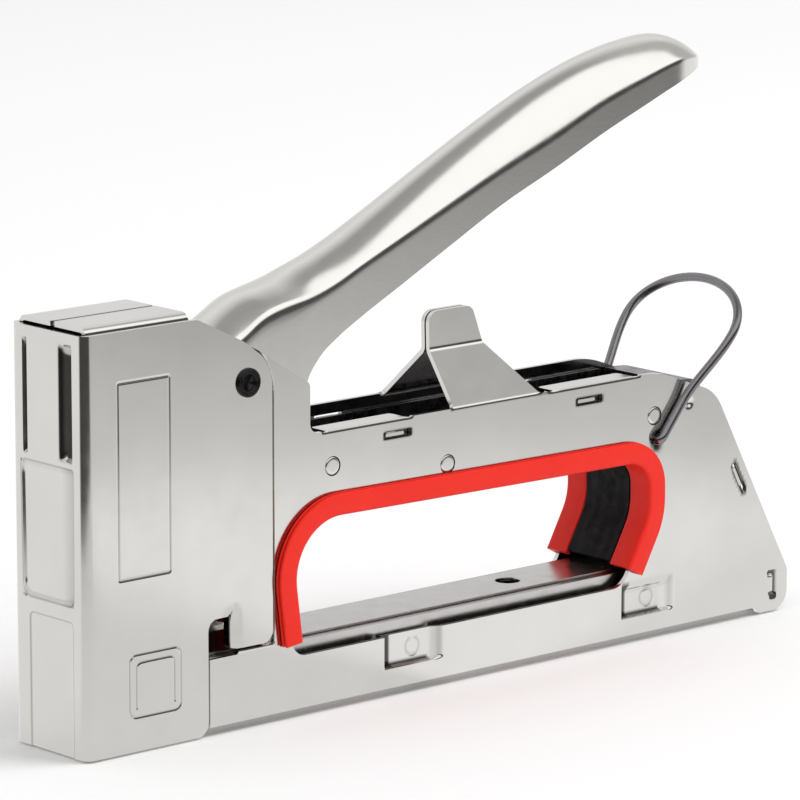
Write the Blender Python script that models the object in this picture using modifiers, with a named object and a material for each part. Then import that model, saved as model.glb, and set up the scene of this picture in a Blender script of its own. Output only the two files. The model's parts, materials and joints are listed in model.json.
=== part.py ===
"""Hand staple gun of folded, plated steel sheet, built the way the tool is put together.

Two side plates carry a beam frame, a magazine and the striking gear, and a front cover wraps the
nose. A pressed handle turns on a hollow pin and lifts the striker through a lever. The script's
own frame has X along the tool from the nose to the tail, with 0 at the nose, Y across it and Z up
from the sole. The empty "tool_frame" brings the middle of the tool to the world's origin.
"""
import math

import bmesh
import bpy
import numpy as np
from mathutils import Euler, Matrix, Vector

MM = 0.001

# ---- driving sizes ----------------------------------------------------------------------------
LENGTH = 190.0 * MM            # nose front to tail
SIDE_ROOM = 4.5 * MM           # from the magazine's cover channel to a side plate's outer face
SHEET = 1.0 * MM               # plate and cover thickness
COVER_LAP = 0.15 * MM          # the front cover's sides stand this far outside the plates
COVER_HEIGHT = 82.1 * MM
COVER_DEPTH = 46.5 * MM        # nose front to the cover's rear seam
BEAM_TOP = 56.2 * MM           # top edge of the side plates behind the nose
BODY_BOTTOM = 1.4 * MM         # lower edge of the side plates, above the sole
GAP = 0.3 * MM                 # clearance between neighbours
FIT = 0.2 * MM                 # closer clearance between nested sheets

# hand hole: the clear opening inside the trims, as its corners and their radii
HOLE_FRONT = 52.0 * MM
HOLE_REAR = 147.6 * MM
BEAM_DEPTH = 16.9 * MM         # from the plates' top edge down to the hole's top edge
HOLE_FALL = 1.3 * MM           # the top edge drops this much towards the tail
HOLE_FLOOR = 12.0 * MM         # top edge of the plates' lower strip
TRIM_BAND = 4.6 * MM           # width of a trim's face
TRIM_WALL = 1.5 * MM           # thickness of a trim inside the hole
TRIM_PROUD = 1.2 * MM          # a trim's face stands this far outside the plate

PIVOT_X = 40.4 * MM            # handle pivot
PIVOT_Z = 68.6 * MM
PIVOT_RADIUS = 2.9 * MM
PIVOT_BORE = 1.6 * MM
PIVOT_PROUD = 0.7 * MM

BAIL_X = 150.8 * MM            # wire bail
BAIL_DEPTH = 14.4 * MM         # below the plates' top edge
BAIL_WIRE = 0.85 * MM          # wire radius
BAIL_REACH = 39.3 * MM
BAIL_BULGE = 16.0 * MM         # half of the loop's greatest width
BAIL_LEAN = math.radians(49)   # from the rearward level, at rest

LEVER_X = 42.0 * MM            # lift lever
LEVER_Z = 50.0 * MM
LEVER_ARM = 28.0 * MM
LEVER_TILT = math.radians(14.3)
LEVER_PIN_RADIUS = 2.0 * MM

STRIKER_X = 12.5 * MM          # middle of the striker and its spring
STRIKER_FOOT = 36.5 * MM
STRIKER_TOP = 50.0 * MM
SPRING_RADIUS = 5.8 * MM
SPRING_WIRE = 0.75 * MM
SPRING_TURNS = 7
CAP_THICKNESS = 2.0 * MM

MAGAZINE_TOP = 15.0 * MM       # top of the magazine's cover channel
MAGAZINE_SHEET = 0.8 * MM
MAGAZINE_FIT = 0.1 * MM        # between the staples and the channel's sides
STAPLE_HALF = 5.7 * MM         # half of the staple's crown
STAPLE_WIRE = 0.6 * MM
STAPLE_FOOT = 6.3 * MM
STICK_END = 70.0 * MM
RAIL_FOOT = 3.4 * MM
ROD_RADIUS = 1.4 * MM
ROD_Z = 7.4 * MM
TAIL_ROOM = 5.4 * MM           # from the rear end of the magazine's rail to the tail

RIVET_RADIUS = 1.6 * MM

# places that follow from the sizes above
MAGAZINE_HALF = STAPLE_HALF + MAGAZINE_FIT + MAGAZINE_SHEET
BODY_HALF = MAGAZINE_HALF + SIDE_ROOM   # outer face of each side plate
COVER_HALF = BODY_HALF + COVER_LAP
HOLE_TOP = BEAM_TOP - BEAM_DEPTH
BAIL_Z = BEAM_TOP - BAIL_DEPTH
TRIM_END = MAGAZINE_TOP + FIT  # height at which the trims and the web stop
RAIL_HALF = STAPLE_HALF - STAPLE_WIRE - 2 * FIT
TAIL_INNER = LENGTH - TAIL_ROOM
PLATE_INNER = BODY_HALF - SHEET
COVER_INNER = COVER_HALF - SHEET
TONGUE_OUTER = COVER_INNER - FIT
TONGUE_INNER = TONGUE_OUTER - SHEET
NOSE_ROOM = TONGUE_INNER - 2 * FIT
SEAM_X = COVER_DEPTH + 0.5 * MM
TRIM_INNER = MAGAZINE_HALF      # a trim's wall reaches in to the side of the magazine's cover
ROOF_TOP = COVER_HEIGHT + 1.8 * MM
CAP_FOOT = ROOF_TOP - SHEET - GAP - CAP_THICKNESS
FRAME_HALF = PLATE_INNER - FIT

RIVETS = {"front": (62.1 * MM, BEAM_TOP - 7.2 * MM), "middle": (92.5 * MM, BEAM_TOP - 11.1 * MM),
          "rear": (150.1 * MM, BEAM_TOP - 9.1 * MM)}
TAB_SLOTS = [(79.1 * MM, BEAM_TOP - 3.1 * MM), (131.4 * MM, BEAM_TOP - 3.3 * MM)]
TAB_LENGTH = 6.8 * MM
TAB_SHEET = 1.0 * MM
WINDOWS = [(84.1 * MM, 8.5 * MM), (149.0 * MM, 8.8 * MM)]
WINDOW_LENGTH = 15.8 * MM
WINDOW_HEIGHT = 5.2 * MM

# handle stations: x, lower edge, shoulder, crown, inset of its flanks from the tongues' inner faces
HANDLE_WALL = 1.2 * MM
HANDLE = [(x * MM, low * MM, side * MM, top * MM, TONGUE_INNER - inset * MM) for x, low, side, top, inset in [
    (33.5, 66.0, 71.5, 75.2, 0.85),
    (37.0, 62.5, 74.4, 78.2, 0.55),
    (42.0, 59.5, 77.0, 81.4, 0.45),
    (46.5, 57.8, 79.8, 83.6, 0.45),
    (51.5, 57.4, 81.4, 84.9, 0.45),
    (55.5, 61.0, 82.1, 85.8, 0.45),
    (58.0, 66.6, 82.4, 86.6, 0.55),
    (61.0, 70.3, 83.0, 87.7, 0.75),
    (66.0, 73.8, 84.6, 89.4, 0.95),
    (72.0, 77.0, 87.2, 91.8, 1.05),
    (83.0, 82.3, 91.6, 97.2, 1.15),
    (96.0, 88.7, 96.9, 103.9, 1.15),
    (110.0, 95.5, 102.6, 110.8, 1.05),
    (124.0, 101.3, 107.9, 117.0, 0.85),
    (138.0, 107.4, 113.8, 121.8, 0.75),
    (150.0, 112.0, 117.6, 124.3, 0.85),
    (158.0, 114.9, 119.8, 125.0, 1.25),
    (164.0, 116.4, 120.4, 124.4, 2.05),
    (169.0, 116.9, 119.8, 122.6, 3.45),
    (172.0, 117.2, 118.8, 120.6, 5.45),
    (173.2, 117.6, 118.2, 119.0, 7.25),
]]

# ---- scene, collections, materials ------------------------------------------------------------
for old in list(bpy.data.objects):
    bpy.data.objects.remove(old, do_unlink=True)

parts = bpy.data.collections.new("staple_gun")
cutters = bpy.data.collections.new("cutters")
bpy.context.scene.collection.children.link(parts)
bpy.context.scene.collection.children.link(cutters)

tool_frame = bpy.data.objects.new("tool_frame", None)
tool_frame.location = (-LENGTH / 2, 0, 0)
parts.objects.link(tool_frame)


def material(name, colour, roughness, metallic):
    """A Principled material with one colour."""
    mat = bpy.data.materials.new(name)
    mat.use_nodes = True
    shader = mat.node_tree.nodes["Principled BSDF"]
    shader.inputs["Base Color"].default_value = (*colour, 1)
    shader.inputs["Roughness"].default_value = roughness
    shader.inputs["Metallic"].default_value = metallic
    return mat


BRIGHT = material("nickel_plated_steel", (0.70, 0.69, 0.67), 0.18, 1)
SATIN = material("satin_chromed_steel", (0.74, 0.73, 0.70), 0.28, 1)
WIRE = material("spring_steel_wire", (0.32, 0.31, 0.33), 0.3, 1)
BLACK = material("black_oxide_steel", (0.02, 0.02, 0.02), 0.4, 1)
DARK = material("oiled_inner_steel", (0.25, 0.25, 0.26), 0.45, 1)
RED = material("red_soft_plastic", (0.85, 0.05, 0.03), 0.45, 0)
WEB = material("black_plastic", (0.02, 0.02, 0.022), 0.5, 0)
RUBBER = material("bumper_rubber", (0.04, 0.04, 0.04), 0.8, 0)
STAPLE = material("galvanised_staple_wire", (0.62, 0.63, 0.64), 0.3, 1)


# ---- outlines ---------------------------------------------------------------------------------
def bent(corners, closed=True, step=math.radians(15)):
    """Points of an outline whose corners (x, y, radius) are rounded by tangent arcs."""
    points = []
    count = len(corners)
    for i, (x, y, radius) in enumerate(corners):
        here = Vector((x, y))
        at_end = not closed and i in (0, count - 1)
        if radius <= 0 or at_end:
            points.append(here)
            continue
        back = (Vector(corners[i - 1][:2]) - here)
        ahead = (Vector(corners[(i + 1) % count][:2]) - here)
        half = back.angle(ahead) / 2
        reach = min(radius / math.tan(half), 0.49 * back.length, 0.49 * ahead.length)
        radius = reach * math.tan(half)
        back.normalize()
        ahead.normalize()
        centre = here + (back + ahead).normalized() * (radius / math.sin(half))
        first = here + back * reach - centre
        last = here + ahead * reach - centre
        sweep = math.pi - 2 * half
        turns = max(2, round(sweep / step))
        sign = 1 if first.x * last.y - first.y * last.x > 0 else -1
        for k in range(turns + 1):
            angle = sign * sweep * k / turns
            spun = Vector((first.x * math.cos(angle) - first.y * math.sin(angle),
                           first.x * math.sin(angle) + first.y * math.cos(angle)))
            points.append(centre + spun)
    return [tuple(p) for p in points]


def offset(corners, distance):
    """An open cornered path moved sideways, to the left of its direction, with its radii grown."""
    lines = []
    for (x0, y0, _), (x1, y1, _) in zip(corners, corners[1:]):
        along = Vector((x1 - x0, y1 - y0)).normalized()
        side = Vector((-along.y, along.x)) * distance
        lines.append((Vector((x0, y0)) + side, along))
    moved = [lines[0][0]]
    for (p, d), (q, e) in zip(lines, lines[1:]):
        cross = d.x * e.y - d.y * e.x
        t = ((q.x - p.x) * e.y - (q.y - p.y) * e.x) / cross
        moved.append(p + d * t)
    last_x, last_y, _ = corners[-1]
    p, d = lines[-1]
    moved.append(p + d * (Vector((last_x, last_y)) - p).dot(d))
    result = []
    for i, point in enumerate(moved):
        radius = corners[i][2]
        if 0 < i < len(moved) - 1 and radius > 0:
            before = Vector(corners[i][:2]) - Vector(corners[i - 1][:2])
            after = Vector(corners[i + 1][:2]) - Vector(corners[i][:2])
            turns_right = before.x * after.y - before.y * after.x < 0
            radius += distance if turns_right else -distance
        result.append((point.x, point.y, radius))
    return result


def band(corners, inner, outer):
    """A closed outline between two offsets of an open path."""
    one = bent(offset(corners, inner), closed=False)
    two = bent(offset(corners, outer), closed=False)
    return one + two[::-1]


def disc(x, y, radius, count=24):
    """A round outline."""
    angles = np.linspace(0, 2 * math.pi, count, endpoint=False)
    return [(x + radius * math.cos(a), y + radius * math.sin(a)) for a in angles]


def oblong(x, y, length, height, angle=0.0, radius=0.4 * MM):
    """A rounded rectangle about (x, y), turned by an angle."""
    turn = Matrix.Rotation(angle, 2)
    ends = [(-1, -1), (1, -1), (1, 1), (-1, 1)]
    corners = [turn @ Vector((sx * length / 2, sy * height / 2)) for sx, sy in ends]
    return bent([(x + c.x, y + c.y, radius) for c in corners])


def rectangle(x0, y0, x1, y1):
    """A square-cornered outline."""
    return [(x0, y0), (x1, y0), (x1, y1), (x0, y1)]


# ---- solids -----------------------------------------------------------------------------------
def place(obj, mat, as_cutter=False):
    """Puts an object in its collection, under the tool's frame."""
    (cutters if as_cutter else parts).objects.link(obj)
    obj.parent = tool_frame
    if as_cutter:
        obj.hide_render = True
        obj.display_type = "WIRE"
    else:
        obj.data.materials.clear()
        obj.data.materials.append(mat)
    return obj


def from_curve(name, curve, matrix, mat, as_cutter):
    """A mesh object made from a filled or bevelled curve, with its caps welded on."""
    guide = bpy.data.objects.new(name + "_guide", curve)
    bpy.context.scene.collection.objects.link(guide)
    bpy.context.view_layer.update()
    graph = bpy.context.evaluated_depsgraph_get()
    mesh = bpy.data.meshes.new_from_object(guide.evaluated_get(graph))
    bpy.data.objects.remove(guide, do_unlink=True)
    bpy.data.curves.remove(curve)
    mesh.transform(matrix)
    bm = bmesh.new()
    bm.from_mesh(mesh)
    bmesh.ops.remove_doubles(bm, verts=bm.verts, dist=0.002 * MM)
    bmesh.ops.recalc_face_normals(bm, faces=bm.faces)
    bm.to_mesh(mesh)
    bm.free()
    mesh.name = name
    return place(bpy.data.objects.new(name, mesh), mat, as_cutter)


# each axis has the turn that stands a flat outline's plane square to it
STAND = {"y": Euler((math.pi / 2, 0, 0)).to_matrix().to_4x4(),
         "x": Euler((math.pi / 2, 0, math.pi / 2)).to_matrix().to_4x4(),
         "z": Matrix.Identity(4)}
ALONG = {"y": Vector((0, 1, 0)), "x": Vector((1, 0, 0)), "z": Vector((0, 0, 1))}


def prism(name, outlines, axis, low, high, mat=None, as_cutter=False):
    """Flat outlines, the later ones being holes, extruded along an axis from low to high.

    An outline is in (x, z) for axis y, in (y, z) for axis x and in (x, y) for axis z.
    """
    curve = bpy.data.curves.new(name, "CURVE")
    curve.dimensions = "2D"
    curve.fill_mode = "BOTH"
    curve.extrude = (high - low) / 2
    for outline in outlines:
        spline = curve.splines.new("POLY")
        spline.points.add(len(outline) - 1)
        for point, (u, v) in zip(spline.points, outline):
            point.co = (u, v, 0, 1)
        spline.use_cyclic_u = True
    matrix = Matrix.Translation(ALONG[axis] * (low + high) / 2) @ STAND[axis]
    return from_curve(name, curve, matrix, mat, as_cutter)


def box(name, low, high, mat=None, as_cutter=False):
    """A block between two corners."""
    mesh = bpy.data.meshes.new(name)
    size = Vector(high) - Vector(low)
    middle = (Vector(high) + Vector(low)) / 2
    bm = bmesh.new()
    bmesh.ops.create_cube(bm, size=1, matrix=Matrix.Translation(middle) @ Matrix.Diagonal((*size, 1)))
    bm.to_mesh(mesh)
    bm.free()
    return place(bpy.data.objects.new(name, mesh), mat, as_cutter)


def rod(name, start, end, radius, mat=None, as_cutter=False, segments=20):
    """A round bar between two points."""
    start, end = Vector(start), Vector(end)
    mesh = bpy.data.meshes.new(name)
    turn = (end - start).to_track_quat("Z", "Y").to_matrix().to_4x4()
    bm = bmesh.new()
    bmesh.ops.create_cone(bm, cap_ends=True, segments=segments, radius1=radius, radius2=radius,
                          depth=(end - start).length,
                          matrix=Matrix.Translation((start + end) / 2) @ turn)
    bm.to_mesh(mesh)
    bm.free()
    return smooth(place(bpy.data.objects.new(name, mesh), mat, as_cutter))


def wire(name, points, radius, mat, sides=2):
    """A round wire through the points."""
    curve = bpy.data.curves.new(name, "CURVE")
    curve.dimensions = "3D"
    curve.bevel_depth = radius
    curve.bevel_resolution = sides
    curve.use_fill_caps = True
    spline = curve.splines.new("POLY")
    spline.points.add(len(points) - 1)
    for point, place_at in zip(spline.points, points):
        point.co = (*place_at, 1)
    return smooth(from_curve(name, curve, Matrix.Identity(4), mat, False))


def smooth(obj):
    """Smooth shading with sharp edges kept."""
    obj.data.shade_smooth()
    obj.data.set_sharp_from_angle(angle=math.radians(40))
    return obj


def boolean(obj, other, operation):
    """Adds an exact Boolean modifier whose other solid is kept as a guide."""
    modifier = obj.modifiers.new(operation.lower(), "BOOLEAN")
    modifier.operation = operation
    modifier.solver = "EXACT"
    modifier.object = other
    return obj


def set_origin(obj, point):
    """Moves an object's origin onto its joint's axis without moving its shape."""
    obj.data.transform(Matrix.Translation(-Vector(point)))
    obj.location = point
    return obj


# ---- hand hole --------------------------------------------------------------------------------
def hole_path(end=TRIM_END):
    """The clear opening's edge, from the front foot at height end over the top to the rear foot."""
    height = HOLE_TOP - TRIM_END
    return [(HOLE_FRONT + 0.095 * height, end, 0),
            (HOLE_FRONT, TRIM_END + 0.49 * height, 20 * MM),
            (HOLE_FRONT - 0.7 * MM, HOLE_TOP, 11 * MM),
            (HOLE_REAR, HOLE_TOP - HOLE_FALL, 8.5 * MM),
            (HOLE_REAR, TRIM_END + 0.475 * height, 12 * MM),
            (HOLE_REAR - 0.265 * height, end, 0)]


def plate_hole():
    """The plates' own hole, one clearance outside the trims' walls and down to the lower strip."""
    path = offset(hole_path(), TRIM_WALL + GAP)
    front, rear = path[0], path[-1]
    front_floor = (front[0] + 0.6 * MM, HOLE_FLOOR, 5 * MM)
    rear_floor = (rear[0] - 1.6 * MM, HOLE_FLOOR, 8 * MM)
    return bent(path + [rear_floor, front_floor])


# ---- side plates ------------------------------------------------------------------------------
REAR_TOP = (LENGTH - 22.2 * MM, BEAM_TOP - 6.2 * MM)
REAR_FOOT = (LENGTH, 8.6 * MM)
REAR_SLOPE = math.atan2(REAR_FOOT[1] - REAR_TOP[1], REAR_FOOT[0] - REAR_TOP[0])
REAR_INSET = 2.9 * MM
REAR_SLOT = ((REAR_TOP[0] + REAR_FOOT[0]) / 2 - 3.8 * MM, (REAR_TOP[1] + REAR_FOOT[1]) / 2 + 1.0 * MM)
FIN_FRONT = 94.6 * MM
FIN_REAR = 116.5 * MM
FIN_TOP = BEAM_TOP + 18.0 * MM
FIN_BEND = BEAM_TOP + 9.4 * MM


def plate_outline():
    """The visible part of a side plate, behind and below the front cover."""
    shelf = 15.7 * MM
    foot_x = LENGTH - 8.5 * MM
    return bent([(30.6 * MM, BODY_BOTTOM, 0.3 * MM), (30.6 * MM, shelf, 0.3 * MM), (SEAM_X, shelf, 2 * MM),
                 (SEAM_X, 72.0 * MM, 1 * MM), (56.3 * MM, 66.4 * MM, 1.5 * MM),
                 (56.3 * MM, BEAM_TOP, 2.4 * MM), (REAR_TOP[0] - 16.8 * MM, BEAM_TOP, 22 * MM),
                 (*REAR_TOP, 10 * MM), (*REAR_FOOT, 4 * MM), (LENGTH, 0, 4.5 * MM), (foot_x, 0, 0.6 * MM),
                 (foot_x - 1 * MM, BODY_BOTTOM, 0.6 * MM)])


def tongue_outline():
    """The part of a side plate that runs forward inside the cover, up to its top flap."""
    rear = SEAM_X + 2.3 * MM
    return [(1.4 * MM, BODY_BOTTOM), (rear, BODY_BOTTOM), (rear, 66 * MM),
            (27.0 * MM, ROOF_TOP - 2.4 * MM), (26.5 * MM, ROOF_TOP), (1.4 * MM, ROOF_TOP)]


def fin_leaf(name, side):
    """One leaf of the fin: a strip bent inwards from the plate and up again, cut to the fin's outline."""
    root, tip = PLATE_INNER, 0.2 * MM
    low = BEAM_TOP - 1.5 * MM
    section = [(root, low), (BODY_HALF, low), (BODY_HALF, BEAM_TOP - 0.2 * MM),
               (tip + SHEET, FIN_BEND + 0.6 * MM), (tip + SHEET, FIN_TOP), (tip, FIN_TOP),
               (tip, FIN_BEND), (root, BEAM_TOP - 1.0 * MM)]
    leaf = prism(name, [[(side * y, z) for y, z in section]], "x", FIN_FRONT - 2 * MM, FIN_REAR + 1 * MM,
                 as_cutter=True)
    front, rear = FIN_FRONT, FIN_REAR
    outline = bent([(front, low - 1 * MM, 0), (front, BEAM_TOP, 3 * MM), (front + 0.6 * MM, FIN_BEND, 5 * MM),
                    (front - 0.4 * MM, FIN_TOP - 2.2 * MM, 2.4 * MM), (front + 1.6 * MM, FIN_TOP, 1.4 * MM),
                    (rear - 8.8 * MM, FIN_TOP - 0.6 * MM, 2 * MM), (rear - 3.6 * MM, FIN_BEND, 4 * MM),
                    (rear, BEAM_TOP, 3 * MM), (rear, low - 1 * MM, 0)])
    trim = prism(name + "_outline", [outline], "y", -BODY_HALF - GAP, BODY_HALF + GAP, as_cutter=True)
    return boolean(leaf, trim, "INTERSECT")


def side_plate(name, side):
    """One side plate: outer skin, joggled tongue, top flap, beam flange and fin leaf."""
    holes = [plate_hole(), disc(BAIL_X, BAIL_Z, BAIL_WIRE + GAP, 16),
             oblong(*REAR_SLOT, 7.5 * MM, 1.7 * MM, REAR_SLOPE),
             oblong(LENGTH - 3.6 * MM, 5.9 * MM, 1.3 * MM, 5.2 * MM)]
    holes += [disc(x, z, RIVET_RADIUS + 0.1 * MM) for x, z in RIVETS.values()]
    holes += [oblong(x, z, TAB_LENGTH + 2 * GAP, TAB_SHEET + 2 * GAP) for x, z in TAB_SLOTS]
    holes += [oblong(x, z, WINDOW_LENGTH, WINDOW_HEIGHT, radius=0.6 * MM) for x, z in WINDOWS]

    def across(inner, outer):
        return sorted((side * inner, side * outer))

    plate = prism(name, [plate_outline()] + holes, "y", *across(PLATE_INNER, BODY_HALF), mat=BRIGHT)
    tongue_holes = [disc(PIVOT_X, PIVOT_Z, PIVOT_RADIUS + GAP),
                    disc(LEVER_X, LEVER_Z, LEVER_PIN_RADIUS + GAP),
                    rectangle(29.0 * MM, 15.0 * MM, 38.0 * MM, 24.0 * MM)]
    tongue = prism(name + "_tongue", [tongue_outline()] + tongue_holes, "y",
                   *across(TONGUE_INNER, TONGUE_OUTER), as_cutter=True)
    boolean(plate, tongue, "UNION")
    y0, y1 = across(TONGUE_INNER + 0.1 * MM, BODY_HALF - 0.1 * MM)
    joggle = box(name + "_joggle", (SEAM_X + 0.4 * MM, y0, BODY_BOTTOM + 0.2 * MM),
                 (SEAM_X + 2.1 * MM, y1, 64 * MM), as_cutter=True)
    boolean(plate, joggle, "UNION")
    y0, y1 = across(0.12 * MM, TONGUE_OUTER - 0.3 * MM)
    flap = box(name + "_flap", (1.5 * MM, y0, ROOF_TOP - SHEET), (26.4 * MM, y1, ROOF_TOP - 0.01 * MM),
               as_cutter=True)
    boolean(plate, flap, "UNION")
    boolean(plate, fin_leaf(name + "_fin", side), "UNION")
    if side < 0:
        flange = BODY_HALF - 5.1 * MM
        for k, (start, end) in enumerate([(59.5 * MM, 81.5 * MM), (121.0 * MM, 150.0 * MM)]):
            y0, y1 = across(flange, BODY_HALF - 0.1 * MM)
            lip = box(f"{name}_flange_{k}", (start, y0, BEAM_TOP - SHEET),
                      (end, y1, BEAM_TOP - 0.01 * MM), as_cutter=True)
            boolean(plate, lip, "UNION")
    return plate


# ---- front cover ------------------------------------------------------------------------------
def front_cover():
    """A deep U folded round the nose, cut to its side outline, with a window low at the back."""
    bend = 2.0 * MM
    rear = COVER_DEPTH + 1 * MM
    outer = bent([(0, -COVER_HALF, bend), (rear, -COVER_HALF, 0), (rear, COVER_HALF, 0),
                  (0, COVER_HALF, bend)])
    inner = bent([(SHEET, -COVER_INNER, bend - SHEET), (rear + SHEET, -COVER_INNER, 0),
                  (rear + SHEET, COVER_INNER, 0), (SHEET, COVER_INNER, bend - SHEET)])
    cover = prism("front_cover", [outer], "z", 0, COVER_HEIGHT, mat=BRIGHT)
    hollow = prism("cover_hollow", [inner], "z", -1 * MM, COVER_HEIGHT + 1 * MM, as_cutter=True)
    boolean(cover, hollow, "DIFFERENCE")
    window = 36.4 * MM
    shelf = 16.2 * MM
    lintel = 23.0 * MM
    step = 30.2 * MM
    side = bent([(-1 * MM, -1 * MM, 0), (step, -1 * MM, 0), (step, 1.4 * MM, 0), (step, lintel, 2.6 * MM),
                 (window, lintel, 0.5 * MM), (window, shelf, 0.5 * MM), (COVER_DEPTH, shelf, 2.5 * MM),
                 (COVER_DEPTH, 73.0 * MM, 5 * MM), (27.8 * MM, COVER_HEIGHT, 3 * MM),
                 (27.0 * MM, COVER_HEIGHT + 1 * MM, 0), (-1 * MM, COVER_HEIGHT + 1 * MM, 0)])
    trim = prism("cover_side_outline", [side], "y", -COVER_HALF - 1 * MM, COVER_HALF + 1 * MM, as_cutter=True)
    boolean(cover, trim, "INTERSECT")
    hole = rod("cover_pivot_hole", (PIVOT_X, -COVER_HALF - 1 * MM, PIVOT_Z),
               (PIVOT_X, COVER_HALF + 1 * MM, PIVOT_Z), PIVOT_RADIUS + GAP, as_cutter=True, segments=24)
    boolean(cover, hole, "DIFFERENCE")
    return cover


# ---- trims, web, frame ------------------------------------------------------------------------
def grip_trim(name, side):
    """A red edging: a flat band on the plate's face and a wall through its hole."""
    path = hole_path()
    face = sorted((side * (BODY_HALF + FIT), side * (BODY_HALF + TRIM_PROUD)))
    wall = sorted((side * TRIM_INNER, side * (BODY_HALF + TRIM_PROUD - 0.2 * MM)))
    trim = prism(name, [band(path, 0, TRIM_BAND)], "y", *face, mat=RED)
    inside = prism(name + "_wall", [band(path, 0.01 * MM, TRIM_WALL)], "y", *wall, as_cutter=True)
    return boolean(trim, inside, "UNION")


def grip_web():
    """The black web that joins the two trims across the hand hole."""
    reach = TRIM_INNER - FIT
    path = hole_path(MAGAZINE_TOP + 1.3 * MM)
    return prism("grip_web", [band(path, 0, TRIM_WALL)], "y", -reach, reach, mat=WEB)


def beam_frame():
    """The trough between the plates, riveted to them, with tabs that show in the plates' slots."""
    foot = HOLE_TOP + TRIM_WALL + GAP + 0.9 * MM
    top = BEAM_TOP - 2.6 * MM
    outer, inner = FRAME_HALF, FRAME_HALF - SHEET
    section = [(-outer, foot), (outer, foot), (outer, top), (inner, top), (inner, foot + SHEET),
               (-inner, foot + SHEET), (-inner, top), (-outer, top)]
    rear = REAR_TOP[0] - 14.3 * MM
    frame = prism("beam_frame", [section], "x", 58.0 * MM, rear, mat=DARK)
    for side in (-1, 1):
        for k, (x, z) in enumerate(TAB_SLOTS):
            y0, y1 = sorted((side * (inner + 0.2 * MM), side * (BODY_HALF - 0.1 * MM)))
            z_top = min(z + TAB_SHEET / 2, top - 0.01 * MM)
            tab = box(f"frame_tab_{side}_{k}", (x - TAB_LENGTH / 2, y0, z - TAB_SHEET / 2),
                      (x + TAB_LENGTH / 2, y1, z_top), as_cutter=True)
            boolean(frame, tab, "UNION")
    for spot, (x, z) in RIVETS.items():
        hole = rod(f"frame_hole_{spot}", (x, -BODY_HALF, z), (x, BODY_HALF, z), RIVET_RADIUS + 0.1 * MM,
                   as_cutter=True, segments=24)
        boolean(frame, hole, "DIFFERENCE")
    return frame


def rear_strap():
    """The bent strip that closes the tail between the plates, with tabs in their sloping slots."""
    normal = Vector((-math.sin(REAR_SLOPE), math.cos(REAR_SLOPE))) * -REAR_INSET
    thick = 1.2 * MM
    slope_top = Vector(REAR_TOP) + normal
    foot_z = MAGAZINE_TOP + 2.7 * MM
    share = (REAR_TOP[1] - foot_z) / (REAR_TOP[1] - REAR_FOOT[1])
    slope_foot = Vector(REAR_TOP).lerp(Vector(REAR_FOOT), share) + normal
    path = [(REAR_TOP[0] - 12.3 * MM, BEAM_TOP - 3.2 * MM, 0),
            (REAR_TOP[0] - 4.8 * MM, BEAM_TOP - 3.6 * MM, 3 * MM),
            (slope_top.x, slope_top.y, 3 * MM), (slope_foot.x, slope_foot.y, 0)]
    strap = prism("rear_strap", [band(path, -thick / 2, thick / 2)], "y", -FRAME_HALF, FRAME_HALF, mat=DARK)
    for side in (-1, 1):
        y0, y1 = sorted((side * (FRAME_HALF - 0.5 * MM), side * (BODY_HALF - 0.1 * MM)))
        tab = prism(f"strap_tab_{side}", [oblong(*REAR_SLOT, 6.6 * MM, 1.0 * MM, REAR_SLOPE, 0.1 * MM)], "y",
                    y0, y1, as_cutter=True)
        boolean(strap, tab, "UNION")
    return strap


def rivet(name, side, x, z):
    """A flush rivet through a plate and the frame's wall."""
    return rod(name, (x, side * (FRAME_HALF - SHEET - 0.4 * MM), z), (x, side * (BODY_HALF + 0.05 * MM), z),
               RIVET_RADIUS, mat=BRIGHT, segments=24)


# ---- magazine ---------------------------------------------------------------------------------
def channel(name, half, foot, top, wall, start, end, mat):
    """A folded channel along the tool, open below."""
    inner = half - wall
    roof = top - wall
    section = [(-half, foot), (-inner, foot), (-inner, roof), (inner, roof), (inner, foot), (half, foot),
               (half, top), (-half, top)]
    return prism(name, [section], "x", start, end, mat=mat)


def magazine_body():
    """The fixed outer trough, with ears that are spot-welded in the plates' windows."""
    inner = MAGAZINE_HALF + GAP
    outer = inner + 1.4 * MM
    top = MAGAZINE_TOP - 0.5 * MM
    foot = 0.9 * MM
    floor = foot + MAGAZINE_SHEET
    section = [(-outer, foot), (outer, foot), (outer, top), (inner, top), (inner, floor), (-inner, floor),
               (-inner, top), (-outer, top)]
    body = prism("magazine_body", [section], "x", 6.0 * MM, TAIL_INNER - 1.0 * MM, mat=BRIGHT)
    for side in (-1, 1):
        for k, (x, z) in enumerate(WINDOWS):
            y0, y1 = sorted((side * (outer - 0.3 * MM), side * (BODY_HALF - 0.5 * MM)))
            length, height = WINDOW_LENGTH - 2 * GAP, WINDOW_HEIGHT - 2 * GAP
            ear = box(f"magazine_ear_{side}_{k}", (x - length / 2, y0, z - height / 2),
                      (x + length / 2, y1, z + height / 2), as_cutter=True)
            boolean(body, ear, "UNION")
    return body


def magazine_cover():
    """The inverted channel that closes the magazine, with one round hole in its top."""
    cover = channel("magazine_cover", MAGAZINE_HALF, STAPLE_FOOT - GAP, MAGAZINE_TOP, MAGAZINE_SHEET,
                    4.6 * MM, TAIL_INNER - 3.6 * MM, BRIGHT)
    hole_x = 119.2 * MM
    hole = rod("magazine_hole", (hole_x, 0, MAGAZINE_TOP - 2 * MM), (hole_x, 0, MAGAZINE_TOP + 1 * MM),
               2.6 * MM, as_cutter=True, segments=24)
    return boolean(cover, hole, "DIFFERENCE")


CROWN_TOP = MAGAZINE_TOP - MAGAZINE_SHEET - GAP
RAIL_TOP = CROWN_TOP - STAPLE_WIRE - GAP


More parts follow.
